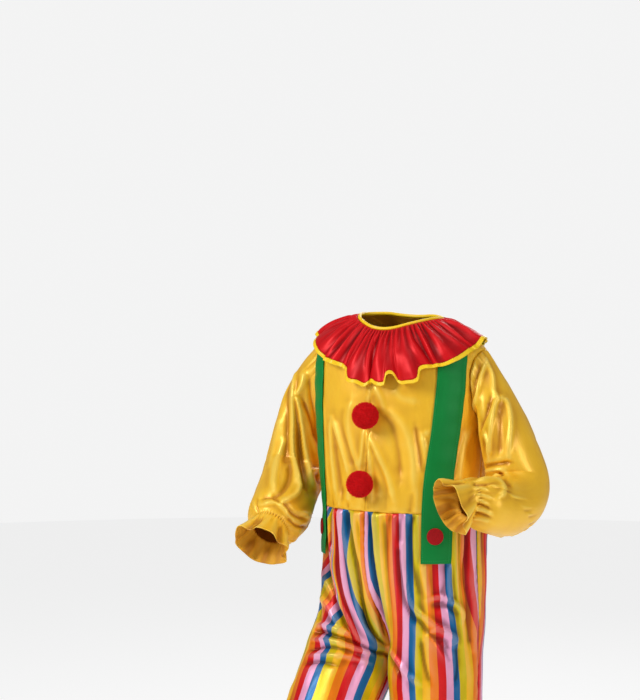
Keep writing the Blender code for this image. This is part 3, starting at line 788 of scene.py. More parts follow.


# Satin.

# In each satin the valley colour is painted shade for the folds' valleys, and the ridge colour a painted
# highlight for their ridges.
satin = {
    "yellow": {
        "colour": (0.92, 0.53, 0.026), "deep": (0.84, 0.40, 0.012), "inside": (0.74, 0.38, 0.02),
        "valleyShade": (0.50, 0.19, 0.006), "ridge": (1.0, 0.78, 0.16),
        "roughness": 0.37, "metallic": 0.16, "gloss": 0.40,
    },
    "red": {
        "colour": (0.60, 0.004, 0.008), "deep": (0.44, 0.002, 0.004), "inside": (0.36, 0.004, 0.006),
        "valleyShade": (0.15, 0.001, 0.002), "ridge": (0.78, 0.016, 0.020),
        "roughness": 0.42, "metallic": 0.16, "gloss": 0.16,
    },
    "green": {
        "colour": (0.003, 0.22, 0.040), "deep": (0.003, 0.16, 0.030), "inside": (0.004, 0.13, 0.03),
        "valleyShade": (0.002, 0.08, 0.016), "ridge": (0.010, 0.34, 0.08),
        "roughness": 0.50, "metallic": 0.05, "gloss": 0.16,
    },
    "stripes": {"roughness": 0.36, "metallic": 0.18, "gloss": 0.24},
}

# Features of the weave, to the metre across and along the cloth, and the wrong
# side's roughness and crinkle.
weave = {
    "floats": (2400.0, 140.0, 1.0), "streak": (150.0, 9.0, 1.0), "soft": (42.0, 26.0, 1.0),
    "wrongRoughness": 0.62, "wrongCrinkle": 0.20, "bumpDistance": 0.006,
}

stripes = {
    "width": 0.0185, "edge": 0.002, "waver": 0.0008, "insideShare": 0.72,
    "colours": (
        (0.72, 0.006, 0.008), (0.86, 0.38, 0.60), (0.003, 0.13, 0.35),
        (0.70, 0.53, 0.002), (0.94, 0.49, 0.012), (0.90, 0.21, 0.006),
    ),
}


def satinSurface(finish, colours, roughness, shades, crinkle=0.14):
    # Colour, gloss and fine relief of a satin with long floats along the cloth.
    # Painted shade darkens its folds' valleys, which see little but other cloth, and
    # a painted highlight lightens their ridges, which catch the light.
    colour, deep, valleyShade, ridge = colours
    fold = finish.node("ShaderNodeAttribute", {"attribute_name": "fold"}, {}, "Fac")
    clamped = {"operation": "MULTIPLY", "use_clamp": True}
    # low is how much painted shade a point gets, and high how much painted highlight, both read from the
    # fold attribute.
    low, high = (finish.node("ShaderNodeMath", clamped, {0: fold, 1: share}) for share in (-0.85, 0.45))
    cloth = finish.cloth()
    floats = finish.noise(finish.stretch(cloth, weave["floats"]), 1.0, 1.0)
    streak = finish.noise(finish.stretch(cloth, weave["streak"]), 1.0, 2.0)
    soft = finish.noise(finish.stretch(cloth, weave["soft"]), 1.0, 3.0, 0.8)
    shade = finish.ramp(soft * 0.7 + streak * 0.3, ((0.30, (0.0, 0.0, 0.0)), (0.66, (1.0, 1.0, 1.0))))
    plain = finish.blend(shade * 0.30, colour, deep)
    finish.set({
        # Base Color: the cloth's own tone, with painted shade in the valleys and a painted highlight on the
        # ridges.
        "Base Color": finish.blend(high, finish.blend(low, plain, valleyShade), ridge),
        "Roughness": (streak - 0.5) * 0.10 + (floats - 0.5) * 0.06 + roughness,
        "Normal": finish.bump(soft * crinkle + streak * 0.06 + floats * 0.012, 0.6, weave["bumpDistance"]),
        "Metallic": shades["metallic"],
        "Specular IOR Level": shades["gloss"],
    })


def satinFinishes(name, shades):
    right = Finish(name)
    colours = [shades[key] for key in ("colour", "deep", "valleyShade", "ridge")]
    satinSurface(right, colours, shades["roughness"], shades)
    wrong = Finish(name + "Inside")
    # The wrong side gets painted shade in its valleys and no painted highlight on its ridges.
    colours = [shades[key] for key in ("inside", "deep", "valleyShade", "inside")]
    satinSurface(wrong, colours, weave["wrongRoughness"], shades, weave["wrongCrinkle"])
    return [right.material, wrong.material]


def stripeFinishes():
    made = []
    sides = (
        ("stripes", satin["stripes"]["roughness"], 1.0),
        ("stripesInside", weave["wrongRoughness"], stripes["insideShare"]),
    )
    for name, roughness, dull in sides:
        finish = Finish(name)
        cloth = finish.cloth()
        count = len(stripes["colours"])
        waver = finish.noise(finish.stretch(cloth, (0.0, 30.0, 1.0)), 1.0, 1.0)
        across = finish.axis(cloth, "X") + (waver - 0.5) * stripes["waver"]
        share = across / (stripes["width"] * count) % 1.0
        stops = []
        for k, colour in enumerate(stripes["colours"]):
            shown = tuple(part * dull for part in colour)
            stops.append((k / count + stripes["edge"], shown))
            stops.append(((k + 1) / count - stripes["edge"], shown))
        colour = finish.ramp(share, stops)
        deep = finish.blend(0.75, colour, (0.55, 0.5, 0.5), "MULTIPLY")
        # Painted shade for the folds' valleys, and a paler painted highlight for their ridges.
        valleyShade = finish.blend(1.0, colour, (0.30, 0.24, 0.24), "MULTIPLY")
        ridge = finish.blend(0.22, colour, (1.0, 0.95, 0.80))
        satinSurface(finish, (colour, deep, valleyShade, ridge), roughness, satin["stripes"])
        made.append(finish.material)
    return made


makeStudio()
print("studio ready")
yellowSatin = satinFinishes("yellowSatin", satin["yellow"])
redSatin = satinFinishes("redSatin", satin["red"])
greenSatin = satinFinishes("greenSatin", satin["green"])
stripedSatin = stripeFinishes()
print("satins ready")

# Bodice.

# Scattered creases are seed shift, count, box, lean, length, width and height.
# Gathers are seed shift, count, left, right, top, length, width and height.
bodice = {
    "wall": 0.0014, "columns": 91, "rows": 112, "crease": 1.9, "cut": (0.37, 0.47), "area": 0.135,
    "waves": ((0.0020, 0.08, 2), (0.0003, 0.030, 5)),
    "behind": (
        (0, 9, (0.02, 0.27, 0.02, 0.20), 4.0, 0.20, 0.012, 0.0040),
        (30, 5, (0.05, 0.24, 0.22, 0.34), 28.0, 0.12, 0.010, 0.0030),
    ),
    "pulls": (60, 13, 0.0, 0.31, 0.0, 0.060, 0.0046, 0.0024),
}

# The centre back closes with a lap, held flat by two rows of stitches.
closure = {
    "lap": 0.030, "edge": 0.006, "fold": 0.026, "foldHalf": 0.003,
    "lift": 0.0005, "dip": 0.0004, "thread": 0.0012,
}

# As the camera sees them: path and half width in pixels, heights in metres.
bodiceSeen = (
    (((331.5, 417), (331.5, 440), (333.5, 465), (337.5, 501)), 2.2, 0.0032, 0.0030, 0.3),
    (((332.5, 417), (338.5, 437), (345, 460), (348, 474)), 2.2, 0.0032, 0.0026, -0.3),
    (((334, 440), (338, 470), (342, 498)), 3.6, -0.0020, -0.0030, 0.0),
    (((352, 398), (349, 420), (353, 450), (360, 470)), 4.5, 0.0020, 0.0034, 0.2),
    (((343, 404), (342, 424), (350, 452), (355, 468)), 4.0, -0.0010, -0.0030, 0.0),
    (((373, 384), (369, 402)), 2.4, 0.0016, 0.0022, 0.4),
    (((375, 386), (381, 398), (384, 412)), 3.4, 0.0030, 0.0012, 0.2),
    (((365, 428), (363, 448), (361, 468)), 2.0, 0.0030, 0.0022, 0.5),
    (((367.5, 433), (371, 460), (373, 498)), 2.4, 0.0034, 0.0036, 0.3),
    (((368.5, 434), (379, 456), (388, 478), (394, 500)), 3.0, 0.0030, 0.0028, -0.3),
    (((371, 450), (378, 474), (382, 499)), 5.0, 0.0018, 0.0016, 0.0),
    (((352, 484), (349, 494), (348, 501)), 2.4, 0.0026, 0.0020, 0.2),
    (((364, 490), (365, 501)), 2.0, -0.0022, -0.0024, 0.0),
    (((380, 412), (392, 428), (398, 452), (400, 480)), 5.0, -0.0016, -0.0030, 0.2),
    (((384, 408), (402, 424), (412, 452), (414, 490)), 5.5, 0.0012, 0.0034, -0.2),
    (((423, 436), (426, 450), (430, 466)), 2.2, 0.0030, 0.0024, 0.4),
    (((424, 434), (430, 433), (434, 440)), 2.2, 0.0026, 0.0024, 0.0),
    (((415, 424), (418, 444), (422, 470)), 3.4, -0.0020, -0.0028, 0.0),
    (((460, 430), (455, 455), (452, 480)), 3.2, -0.0040, -0.0020, 0.0),
    (((470, 428), (463, 452), (458, 490)), 3.0, 0.0026, 0.0022, 0.0),
    (((322, 400), (323, 430), (328, 470), (332, 498)), 3.4, 0.0022, 0.0020, 0.2),
    (((394, 388), (402, 398), (418, 402)), 4.5, 0.0012, 0.0016, 0.0),
)


def makeBodice():
    shares = [np.linspace(0.0, 1.0, bodice[key] + 1) for key in ("columns", "rows")]
    for front in (True, False):
        for side, sign in sideSign.items():
            across, up = np.meshgrid(*shares)
            points = bodicePoint(front, sign, across, up)
            flip = front != (side == "left")
            normals = gridNormals(points, False, flip)
            wide, tall = runLength(points, 1), runLength(points, 0)
            fromWaist, fromTop = tall, tall[-1:] - tall
            fromCentre, fromOuter = wide, wide[:, -1:] - wide
            onNeck = across <= trunkSize["neckShare"]
            lift = uneven(points, bodice["waves"])
            flat = np.stack([wide, tall], -1)
            seed = (11 if front else 12) + (0 if side == "left" else 4)
            if front:
                seen = creaseHeight(seenAt(points), bodiceSeen)
                lift += seen * smooth(normals @ viewBack / 0.3) * bodice["crease"]
            else:
                lift += creaseHeight(flat, scattered(seed, bodice["behind"]))
            shift, *pulls = bodice["pulls"]
            lift += creaseHeight(flat, gathers(seed + shift, *pulls))
            hold = smooth(fromWaist / 0.010) * smooth(fromOuter / 0.012)
            hold *= np.where(onNeck, smooth(fromTop / 0.02), smooth(fromTop / 0.010))
            lift *= hold
            seams = np.minimum(np.minimum(fromWaist, fromOuter), fromCentre)
            seams = np.where(onNeck, seams, np.minimum(seams, fromTop))
            lift += seamDip(seams, points, 3)
            lift *= np.where(onNeck, smooth(fromTop / 0.012), 1.0)
            lift = underBrace(lift, *bodiceSpot(front, sign, across, up))
            if not front and side == "left":
                lap = smooth((closure["lap"] - fromCentre) / closure["edge"])
                ends = smooth(fromTop / 0.010) * smooth(fromWaist / 0.010)
                crest = np.exp(-(((fromCentre - closure["fold"]) / closure["foldHalf"]) ** 2))
                lift = mix(lift, closure["lift"] - closure["dip"] * crest, lap * ends)
            name = f"bodice_{'front' if front else 'back'}_{side}"
            creased, fold = points + normals * lift[..., None], foldShade(points, lift, False)
            wall = bodice["wall"]
            piece = buildSheet(name + "_satin", creased, flat, False, flip, wall, yellowSatin, fold)
            standFor(piece, name)


makeBodice()
print("bodice sewn")

# Sleeves.

sleeve = {
    "wall": 0.0014, "around": 150, "head": 5, "arm": 9, "finer": 10, "ease": 60, "crease": 2.1,
    "cut": (0.58, 0.66), "area": 0.29, "waves": ((0.0026, 0.07, 4), (0.0003, 0.028, 6)),
    "hidden": (
        (0, 11, (0.0, 0.58, 0.06, 0.20), 3.0, 0.22, 0.009, 0.0042),
        (1, 9, (0.0, 0.58, 0.24, 0.34), 70.0, 0.075, 0.006, 0.0040),
        (2, 10, (0.0, 0.58, 0.30, 0.46), 8.0, 0.14, 0.007, 0.0038),
    ),
    # Where the head is eased into the armhole, as shares of the cut's width.
    "eased": (0.22, 0.86), "frill": 0.035, "pinch": 0.0045,
}

sleeveSeen = {
    "right": (
        (
            ((297, 366), (294, 397), (294, 420), (294, 450), (298, 473), (301, 485)),
            2.2, 0.0042, 0.0046, 0.35,
        ),
        (
            ((301, 485), (297, 494), (290, 499), (283, 502), (282, 505), (286, 509), (288, 514)),
            2.0, 0.0046, 0.0030, 0.3,
        ),
        (
            ((296, 396), (299, 404), (303, 437), (307, 458), (310, 477), (316, 490)),
            2.4, 0.0040, 0.0044, -0.35,
        ),
        (((299, 425), (301, 450), (305, 476), (309, 492)), 3.2, -0.0060, -0.0050, 0.2),
        (((297, 400), (306, 416), (312, 436), (317, 456)), 3.0, 0.0030, 0.0030, 0.2),
        (((303, 400), (310, 420), (315, 440)), 3.0, -0.0030, -0.0036, 0.0),
        (((289, 372), (286, 400), (287, 430), (285, 460)), 3.4, -0.0030, -0.0040, 0.0),
        (((287, 436), (281, 452), (276, 470), (273, 490)), 3.4, 0.0034, 0.0040, 0.2),
        (((281, 416), (276, 440), (271, 466)), 3.2, 0.0022, 0.0026, 0.0),
        (((291, 462), (289, 480), (281, 492), (270, 497)), 4.5, -0.0044, -0.0034, 0.2),
        (((310, 472), (317, 470), (322, 476)), 2.0, 0.0036, 0.0030, 0.3),
        (((317, 473), (318, 480), (322, 486)), 1.8, -0.0040, -0.0036, 0.0),
        (((262, 505), (276, 503), (288, 515), (297, 525)), 2.6, 0.0034, 0.0030, -0.3),
        (((258, 500), (270, 496), (284, 506), (296, 516), (308, 519)), 3.2, -0.0030, -0.0036, 0.0),
        (((288, 517), (297, 526), (307, 527)), 2.4, -0.0036, -0.0040, 0.0),
        (((300, 512), (308, 518), (312, 526)), 2.4, 0.0034, 0.0026, 0.2),
        (((316, 496), (312, 510), (302, 516)), 3.0, 0.0030, 0.0026, 0.0),
        (((305, 372), (303, 384), (297, 396)), 2.6, 0.0026, 0.0034, 0.2),
        (((309, 376), (311, 396), (316, 420), (318, 444)), 2.6, -0.0028, -0.0020, 0.0),
    ),
    "left": (
        (((485, 360), (492, 375), (494, 391), (498, 398)), 2.0, 0.0034, 0.0030, 0.3),
        (((501, 399), (496, 403), (493, 417), (491, 436), (489, 462)), 2.0, 0.0044, 0.0034, 0.35),
        (((502, 399), (507, 405), (510, 423), (508, 457)), 2.0, 0.0040, 0.0032, -0.3),
        (((501, 408), (500, 430), (499, 455)), 3.6, -0.0030, -0.0026, 0.0),
        (((486, 362), (480, 380), (477, 400), (473, 423), (472, 438)), 2.6, 0.0036, 0.0032, 0.3),
        (((491, 400), (487, 411), (479, 428), (473, 443)), 3.2, -0.0056, -0.0036, 0.2),
        (((485, 432), (489, 444), (490, 456)), 2.4, 0.0036, 0.0020, 0.3),
        (((482, 440), (480, 452), (476, 462)), 3.0, -0.0032, -0.0030, 0.0),
        (((475, 362), (471, 378), (472, 398), (475, 408)), 2.4, 0.0032, 0.0024, 0.2),
        (((480, 366), (476, 384), (474, 400)), 2.2, -0.0030, -0.0020, 0.0),
        (((462, 421), (468, 413), (474, 404)), 2.8, -0.0050, -0.0030, 0.0),
        (((463, 422), (465, 438), (472, 456)), 2.2, -0.0040, -0.0030, 0.2),
        (((470, 471), (477, 468), (487, 466), (502, 463), (511, 462)), 2.2, -0.0044, -0.0040, 0.3),
        (((472, 476), (486, 471), (500, 470), (508, 476)), 2.4, 0.0036, 0.0026, -0.3),
        (((500, 472), (506, 480), (512, 486)), 2.4, -0.0034, -0.0030, 0.0),
        (((474, 482), (490, 478), (502, 483), (504, 492), (499, 498)), 2.6, 0.0032, 0.0034, 0.2),
        (((470, 489), (478, 488), (488, 490)), 1.6, 0.0030, 0.0022, 0.2),
        (((472, 494), (482, 495), (492, 498)), 1.6, 0.0032, 0.0024, 0.2),
        (((474, 499), (480, 500), (488, 504)), 1.6, 0.0032, 0.0022, 0.2),
        (((473, 508), (482, 509), (492, 514)), 1.8, 0.0032, 0.0024, 0.2),
        (((472, 517), (480, 518), (490, 520)), 1.8, 0.0030, 0.0020, 0.2),
        (((471, 485), (480, 484), (488, 485)), 1.6, -0.0028, -0.0016, 0.0),
        (((474, 504), (482, 505), (490, 509)), 1.6, -0.0030, -0.0018, 0.0),
        (((473, 513), (482, 514), (490, 517)), 1.6, -0.0030, -0.0018, 0.0),
    ),
}


def makeSleeve(side):
    around = np.arange(sleeve["around"]) / sleeve["around"]
    shares = np.arange(sleeve["head"]) / sleeve["head"]
    head = [sleeveHead(side, around, np.full_like(around, share)) for share in shares]
    stations = np.concatenate([np.arange(sleeve["arm"]) * 5.0 / sleeve["arm"], (4.72, 5.0, 5.5, 6.0)])
    shown, turned = np.meshgrid(stations, around, indexing="ij")
    rings = np.concatenate([np.array(head), sleeveRing(side, turned, shown)])
    stations = np.concatenate([np.arange(-sleeve["head"], 0) / sleeve["head"], stations])
    fine = np.linspace(0.0, len(rings) - 1.0, (len(rings) - 1) * sleeve["finer"] + 1)
    rows = np.column_stack([np.arange(len(rings)), stations, rings.reshape(len(rings), -1)])
    read = readRows(rows, fine)
    points = np.moveaxis(read[1:].reshape(sleeve["around"], 3, len(fine)), (0, 1, 2), (1, 2, 0))
    turned = np.repeat(around[None], len(points), 0)
    station = read[0][:, None] + 0.0 * turned
    loose = smooth((4.5 - station) / 0.5) * smooth((station + 1.0) / 0.4)
    for _ in range(sleeve["ease"]):
        eased = points.copy()
        eased[1:-1] = (points[:-2] + 2.0 * points[1:-1] + points[2:]) / 4.0
        points = mix(points, eased, loose[..., None])
    flip = side == "left"
    normals = gridNormals(points, True, flip)
    down = runLength(points, 0)
    total = down.mean(1)[-1]
    elastic = np.abs(station[:, 0] - 5.0).argmin()
    fromArmhole, past = down, down - down[elastic]
    width = sleeve["cut"][0]
    spots = np.stack([turned * width, down], -1)
    lift = uneven(points, sleeve["waves"])
    facing = normals @ viewBack
    seen = creaseHeight(seenAt(points), sleeveSeen[side])
    lift += seen * smooth(facing / 0.3) * smooth((5.2 - station) / 0.2) * sleeve["crease"]
    seed = 21 if side == "left" else 27
    hidden = 1.0 - smooth((facing + 0.1) / 0.35)
    lift += creaseHeight(spots, scattered(seed, sleeve["hidden"])) * hidden * sleeve["crease"]
    left, right = (width * share for share in sleeve["eased"])
    lift += creaseHeight(spots, gathers(seed + 3, 26, left, right, 0.0, 0.055, 0.0045, 0.0022))
    edge = down[elastic].mean()
    upward = spots * (1.0, -1.0)
    for shift in (-width, 0.0, width):
        above = gathers(seed + 4, 44, shift, shift + width, -edge, 0.045, 0.0040, 0.0034)
        lift += creaseHeight(upward, above) * (down <= edge + 0.002)
    lift *= smooth(fromArmhole / 0.010)
    angle = turned * 2.0 * math.pi
    frill = smooth(past / sleeve["frill"])
    lobes = 0.0056 * np.cos(6.0 * angle + 0.8 * np.sin(2.0 * angle)) - 0.003
    lobes += 0.0026 * np.cos(9.0 * angle + 1.0)
    lobes += 0.0030 * np.cos(21.0 * angle + 2.0) * np.exp(-((past / 0.018) ** 2))
    lift += np.where(past > 0, lobes * frill, 0.0)
    pinch = np.exp(-((past / sleeve["pinch"]) ** 2))
    lift += pinch * (-0.0016 + 0.0022 * np.cos(44.0 * angle + 2.0 * np.sin(3.0 * angle)))
    lift += seamDip(fromArmhole, points, 8)
    turns = np.concatenate([turned, turned[:, :1] + 1.0], 1)
    flat = np.stack([turns * width, np.concatenate([down, down[:, :1]], 1)], -1)
    creased, fold = points + normals * lift[..., None], foldShade(points, lift, True)
    piece = buildSheet(f"sleeve_{side}_satin", creased, flat, True, flip, sleeve["wall"], yellowSatin, fold)
    standFor(piece, f"sleeve_{side}")
    print("sleeve", side, "length", round(float(total), 3))


makeSleeve("left")
makeSleeve("right")

# Trousers.

trousers = {
    "wall": 0.0014, "columns": 84, "hipRows": 92, "legRows": 124, "ankleRows": 22,
    "cut": (0.36, 0.98), "area": 0.30, "crease": 2.0, "waves": ((0.0026, 0.08, 9), (0.0003, 0.030, 10)),
    "thighs": ((0, 9, (0.0, 0.33, 0.02, 0.20), 2.0, 0.24, 0.009, 0.0050),),
    "shins": (
        (50, 9, (0.0, 0.30, 0.40, 0.62), 5.0, 0.26, 0.010, 0.0050),
        (51, 8, (-0.02, 0.28, 0.48, 0.66), 74.0, 0.075, 0.007, 0.0040),
    ),
    "waistGathers": (20, 0.0, 0.345, 0.0, 0.085, 0.0052, 0.0034), "pleatWidth": 0.037, "pleat": 0.0088,
    # The picture ends at this height, and what lies lower is creased without it.
    "pictureEnd": 0.93, "pictureFade": 0.06, "bracesEnd": {True: 0.58, False: 0.51},
}

# The cut's edges below the waist, from the panel's own middle line, and how the
# stripes start at the centre: below, inner edge, outer edge.
panelCut = {
    "level": np.array((
        (0.45, 0.000, 0.345), (0.62, -0.006, 0.342), (0.80, -0.030, 0.308),
        (0.95, -0.020, 0.305), (1.40, 0.010, 0.300),
    )),
    "stepping": np.array((
        (0.45, 0.000, 0.305), (0.62, 0.000, 0.310), (0.80, 0.000, 0.317),
        (0.95, 0.000, 0.317), (1.40, 0.012, 0.300),
    )),
}
stripeStart = {
    (True, "left"): 0.029, (True, "right"): 0.104,
    (False, "left"): 0.084, (False, "right"): 0.040,
}

trouserSeen = (
    (((345, 503), (350, 530), (356, 565), (362, 600), (370, 626), (386, 646)), 2.6, -0.0064, -0.0060, 0.25),
    (((340, 503), (344, 530), (350, 562), (357, 596), (364, 624), (378, 643)), 2.8, 0.0050, 0.0050, 0.2),
    (((366, 503), (370, 534), (373, 570), (378, 604), (384, 634)), 2.4, -0.0060, -0.0056, -0.2),
    (((358, 503), (363, 534), (367, 570), (373, 606), (381, 634)), 2.8, 0.0046, 0.0044, 0.0),
    (((380, 506), (382, 540), (385, 580), (389, 620), (392, 646)), 3.6, 0.0040, 0.0034, 0.2),
    (((372, 506), (375, 530), (377, 560)), 2.2, 0.0040, 0.0020, 0.0),
    (((402, 545), (405, 575), (410, 600), (420, 613), (440, 628), (456, 641)), 2.6, 0.0046, 0.0034, 0.35),
    (((400, 552), (402, 585), (408, 610), (424, 628), (440, 645), (450, 660)), 3.2, -0.0050, -0.0036, 0.0),
    (((332, 548), (337, 590), (351, 624), (362, 646)), 2.4, 0.0056, 0.0046, 0.4),
    (((329, 552), (333, 590), (345, 622), (356, 642)), 2.6, -0.0054, -0.0050, 0.0),
    (((318, 560), (326, 580), (338, 604)), 2.6, 0.0034, 0.0030, 0.2),
    (((316, 590), (326, 604), (340, 626)), 2.8, 0.0034, 0.0034, -0.2),
    (((309, 633), (322, 631), (334, 635), (352, 641), (376, 652)), 2.2, -0.0062, -0.0060, 0.3),
    (((308, 627), (322, 625), (336, 629), (354, 634)), 2.4, 0.0040, 0.0036, 0.0),
    (((312, 640), (332, 641), (350, 647), (374, 655)), 2.4, 0.0044, 0.0040, -0.2),
    (((310, 650), (330, 647), (352, 652)), 2.0, -0.0034, -0.0030, 0.0),
    (((308, 656), (328, 655), (350, 658), (370, 664)), 2.4, 0.0030, 0.0030, 0.0),
    (((306, 664), (320, 662), (338, 666)), 2.2, -0.0030, -0.0024, 0.0),
    (((377, 652), (388, 655), (394, 664), (400, 676)), 2.6, -0.0060, -0.0050, 0.2),
    (((388, 648), (396, 660), (408, 674), (420, 684)), 3.0, 0.0044, 0.0034, 0.2),
    (((428, 599), (440, 597), (454, 602), (463, 612), (462, 622)), 2.2, 0.0038, 0.0034, 0.3),
    (((434, 606), (446, 606), (456, 613)), 3.0, -0.0034, -0.0030, 0.0),
    (((429, 634), (436, 629), (446, 630), (456, 638), (452, 645)), 2.2, 0.0036, 0.0034, 0.3),
    (((436, 640), (444, 641), (450, 650)), 2.6, -0.0030, -0.0026, 0.0),
    (((413, 508), (412, 540), (414, 570), (418, 592)), 2.8, -0.0040, -0.0032, 0.0),
    (((420, 508), (421, 540), (424, 575), (430, 598)), 2.8, 0.0036, 0.0030, 0.0),
    (((443, 510), (444, 545), (446, 580), (444, 600)), 2.8, -0.0040, -0.0032, 0.2),
    (((450, 510), (452, 545), (449, 580), (452, 600)), 3.0, 0.0040, 0.0034, 0.0),
    (((465, 510), (468, 540), (464, 570), (468, 600), (470, 640)), 3.0, -0.0042, -0.0040, 0.0),
    (((472, 510), (475, 545), (471, 580), (475, 610), (474, 650)), 2.8, 0.0034, 0.0034, 0.0),
    (((420, 640), (424, 662), (430, 684)), 3.0, -0.0034, -0.0030, 0.0),
    (((456, 646), (458, 664), (456, 684)), 3.0, -0.0034, -0.0030, 0.0),
)


def ankleFolds(past, across):
    # The frill's lobes beyond the elastic, and the elastic's pinch.
    wave = across * 7.0 * math.pi
    lobes = 0.0050 * np.cos(wave * 0.8) + 0.0026 * np.cos(wave * 1.3 + 1.0) - 0.002
    frill = np.where(past > 0, lobes * smooth(past / 0.038), 0.0)
    pinch = np.exp(-((past / 0.0045) ** 2))
    return frill + pinch * (-0.0014 + 0.0022 * np.cos(wave * 3.3 + 2.0 * np.sin(wave * 0.4)))


def waistPleats(points, run, tall, below, start):
    deep = smooth(tall / 0.03) * (0.25 + 0.75 * np.exp(-((tall / 0.16) ** 2)))
    deep *= smooth((0.92 - below) / 0.10)
    swing = 1.6 * np.sin(run * 41.0 + start) + 5.0 * tall * np.sin(run * 17.0)
    pleat = 0.5 + 0.5 * np.cos(run * 2.0 * math.pi / trousers["pleatWidth"] + swing)
    uneasy = 0.7 + 0.5 * ripple(points * (1.0, 1.0, 0.3), 0.05, 13)
    return trousers["pleat"] * (pleat**1.5 - 0.4) * deep * uneasy


def makeTrousers():
    waist, crotch = trunkSize["waistBelow"], legSize["crotchBelow"]
    ankle, elastic, hem = legSize["ankleBelow"], legSize["elasticBelow"], legSize["hemBelow"]
    heights = np.concatenate([
        np.linspace(waist, crotch, trousers["hipRows"], endpoint=False),
        np.linspace(crotch, ankle, trousers["legRows"], endpoint=False),
        np.linspace(ankle, elastic, 10, endpoint=False),
        np.linspace(elastic, hem, trousers["ankleRows"]),
    ])
    across, below = np.meshgrid(np.linspace(0.0, 1.0, trousers["columns"] + 1), heights)
    inPicture = smooth((trousers["pictureEnd"] - below) / trousers["pictureFade"])
    for front in (True, False):
        for side in ("left", "right"):
            points = trouserPoint(front, side, across, below)
            flip = front == (side == "left")
            normals = gridNormals(points, False, flip)
            points = points - normals * legFoldDepth(legFolds[(front, side)], across, below)[..., None]
            tall = runLength(points, 0)
            wide = runLength(points, 1)
            fromSide = wide[:, -1:] - wide
            stepping = front and side == "right"
            inner, outer = readRows(panelCut["stepping" if stepping else "level"], below)
            run = mix(inner, outer, across)
            slant = 0.9 * np.maximum(0.75 - below, 0.0) * smooth((across - 0.33) / 0.03) * stepping
            level = 1.0 if front == (side == "left") else -1.0
            flat = np.stack([level * (run + slant) + stripeStart[(front, side)], tall], -1)
            spots = np.stack([run, tall], -1)
            start = (1.0 if front else 3.0) + (0.0 if side == "left" else 0.8)
            lift = uneven(points, trousers["waves"]) + waistPleats(points, run, tall, below, start)
            seed = (31 if front else 37) + (0 if side == "left" else 3)
            facing = normals @ viewBack
            seen = creaseHeight(seenAt(points), trouserSeen)
            lift += seen * smooth((facing - 0.05) / 0.3) * inPicture * trousers["crease"]
            hidden = 1.0 - smooth((facing + 0.05) / 0.3) * inPicture
            lift += creaseHeight(spots, scattered(seed, trousers["thighs"])) * hidden
            shins = creaseHeight(spots, scattered(seed, trousers["shins"]))
            lift += shins * smooth((below - 0.86) / 0.08) * trousers["crease"]
            lift += creaseHeight(spots, gathers(seed + 60, *trousers["waistGathers"]))
            line = np.interp(elastic, heights, tall.mean(1))
            above = gathers(seed + 61, 26, 0.02, 0.30, -line, 0.060, 0.0044, 0.0044)
            lift += creaseHeight(spots * (1.0, -1.0), above) * (tall <= line + 0.002)
            lift += ankleFolds(tall - line, across)
            ends = smooth(fromSide / 0.024) * smooth(wide / 0.024)
            lift *= smooth(tall / 0.008) * mix(0.12, 1.0, ends)
            lift += seamDip(np.minimum(np.minimum(tall, fromSide), wide), points, 7)
            pressed = smooth((trousers["bracesEnd"][front] - below) / 0.03)
            lift = mix(lift, underBrace(lift, across * math.pi / 2, downAt(below)), pressed)
            name = f"trouser_{'front' if front else 'back'}_{side}"
            creased, fold = points + normals * lift[..., None], foldShade(points, lift, False)
            wall = trousers["wall"]
            piece = buildSheet(name + "_satin", creased, flat, False, flip, wall, stripedSatin, fold)
            standFor(piece, name)
            above = name.replace("trouser", "bodice") + "_satin"


makeTrousers()
print("trousers sewn")

# Collar: around starts at the centre front and runs to the wearer's left, out is
# 0 at the neck binding and 1 at the edge.

collar = {
    "wall": 0.0012, "edgingWall": 0.0022, "length": 0.116, "spread": 0.093, "around": 800, "rows": 44,
    "flutes": 16, "lift": 0.0032, "flare": 0.009, "height": 0.013, "start": 0.0046, "edging": 0.009,
    "gap": 0.0006, "pleats": 76, "fine": 0.0044, "folds": 34.0, "middle": 0.0120, "sway": 0.0068,
    "low": 0.0022, "clear": 0.0054, "unevenness": (0.0010, 0.03, 12), "shadeReach": 0.006,
    "cut": (1.20, 0.136), "area": 0.155, "edgingCut": (1.50, 0.0105),
}

# How far the edge reaches, as a share of the collar's length: around, reach.
collarHem = np.array((
    (0.00, 1.00), (0.06, 1.04), (0.10, 1.12), (0.14, 1.23), (0.18, 1.22), (0.22, 1.12), (0.27, 1.02),
    (0.40, 1.00), (0.70, 1.00), (0.80, 1.04), (0.88, 1.00), (0.93, 0.92), (0.97, 0.98), (1.00, 1.00),
))

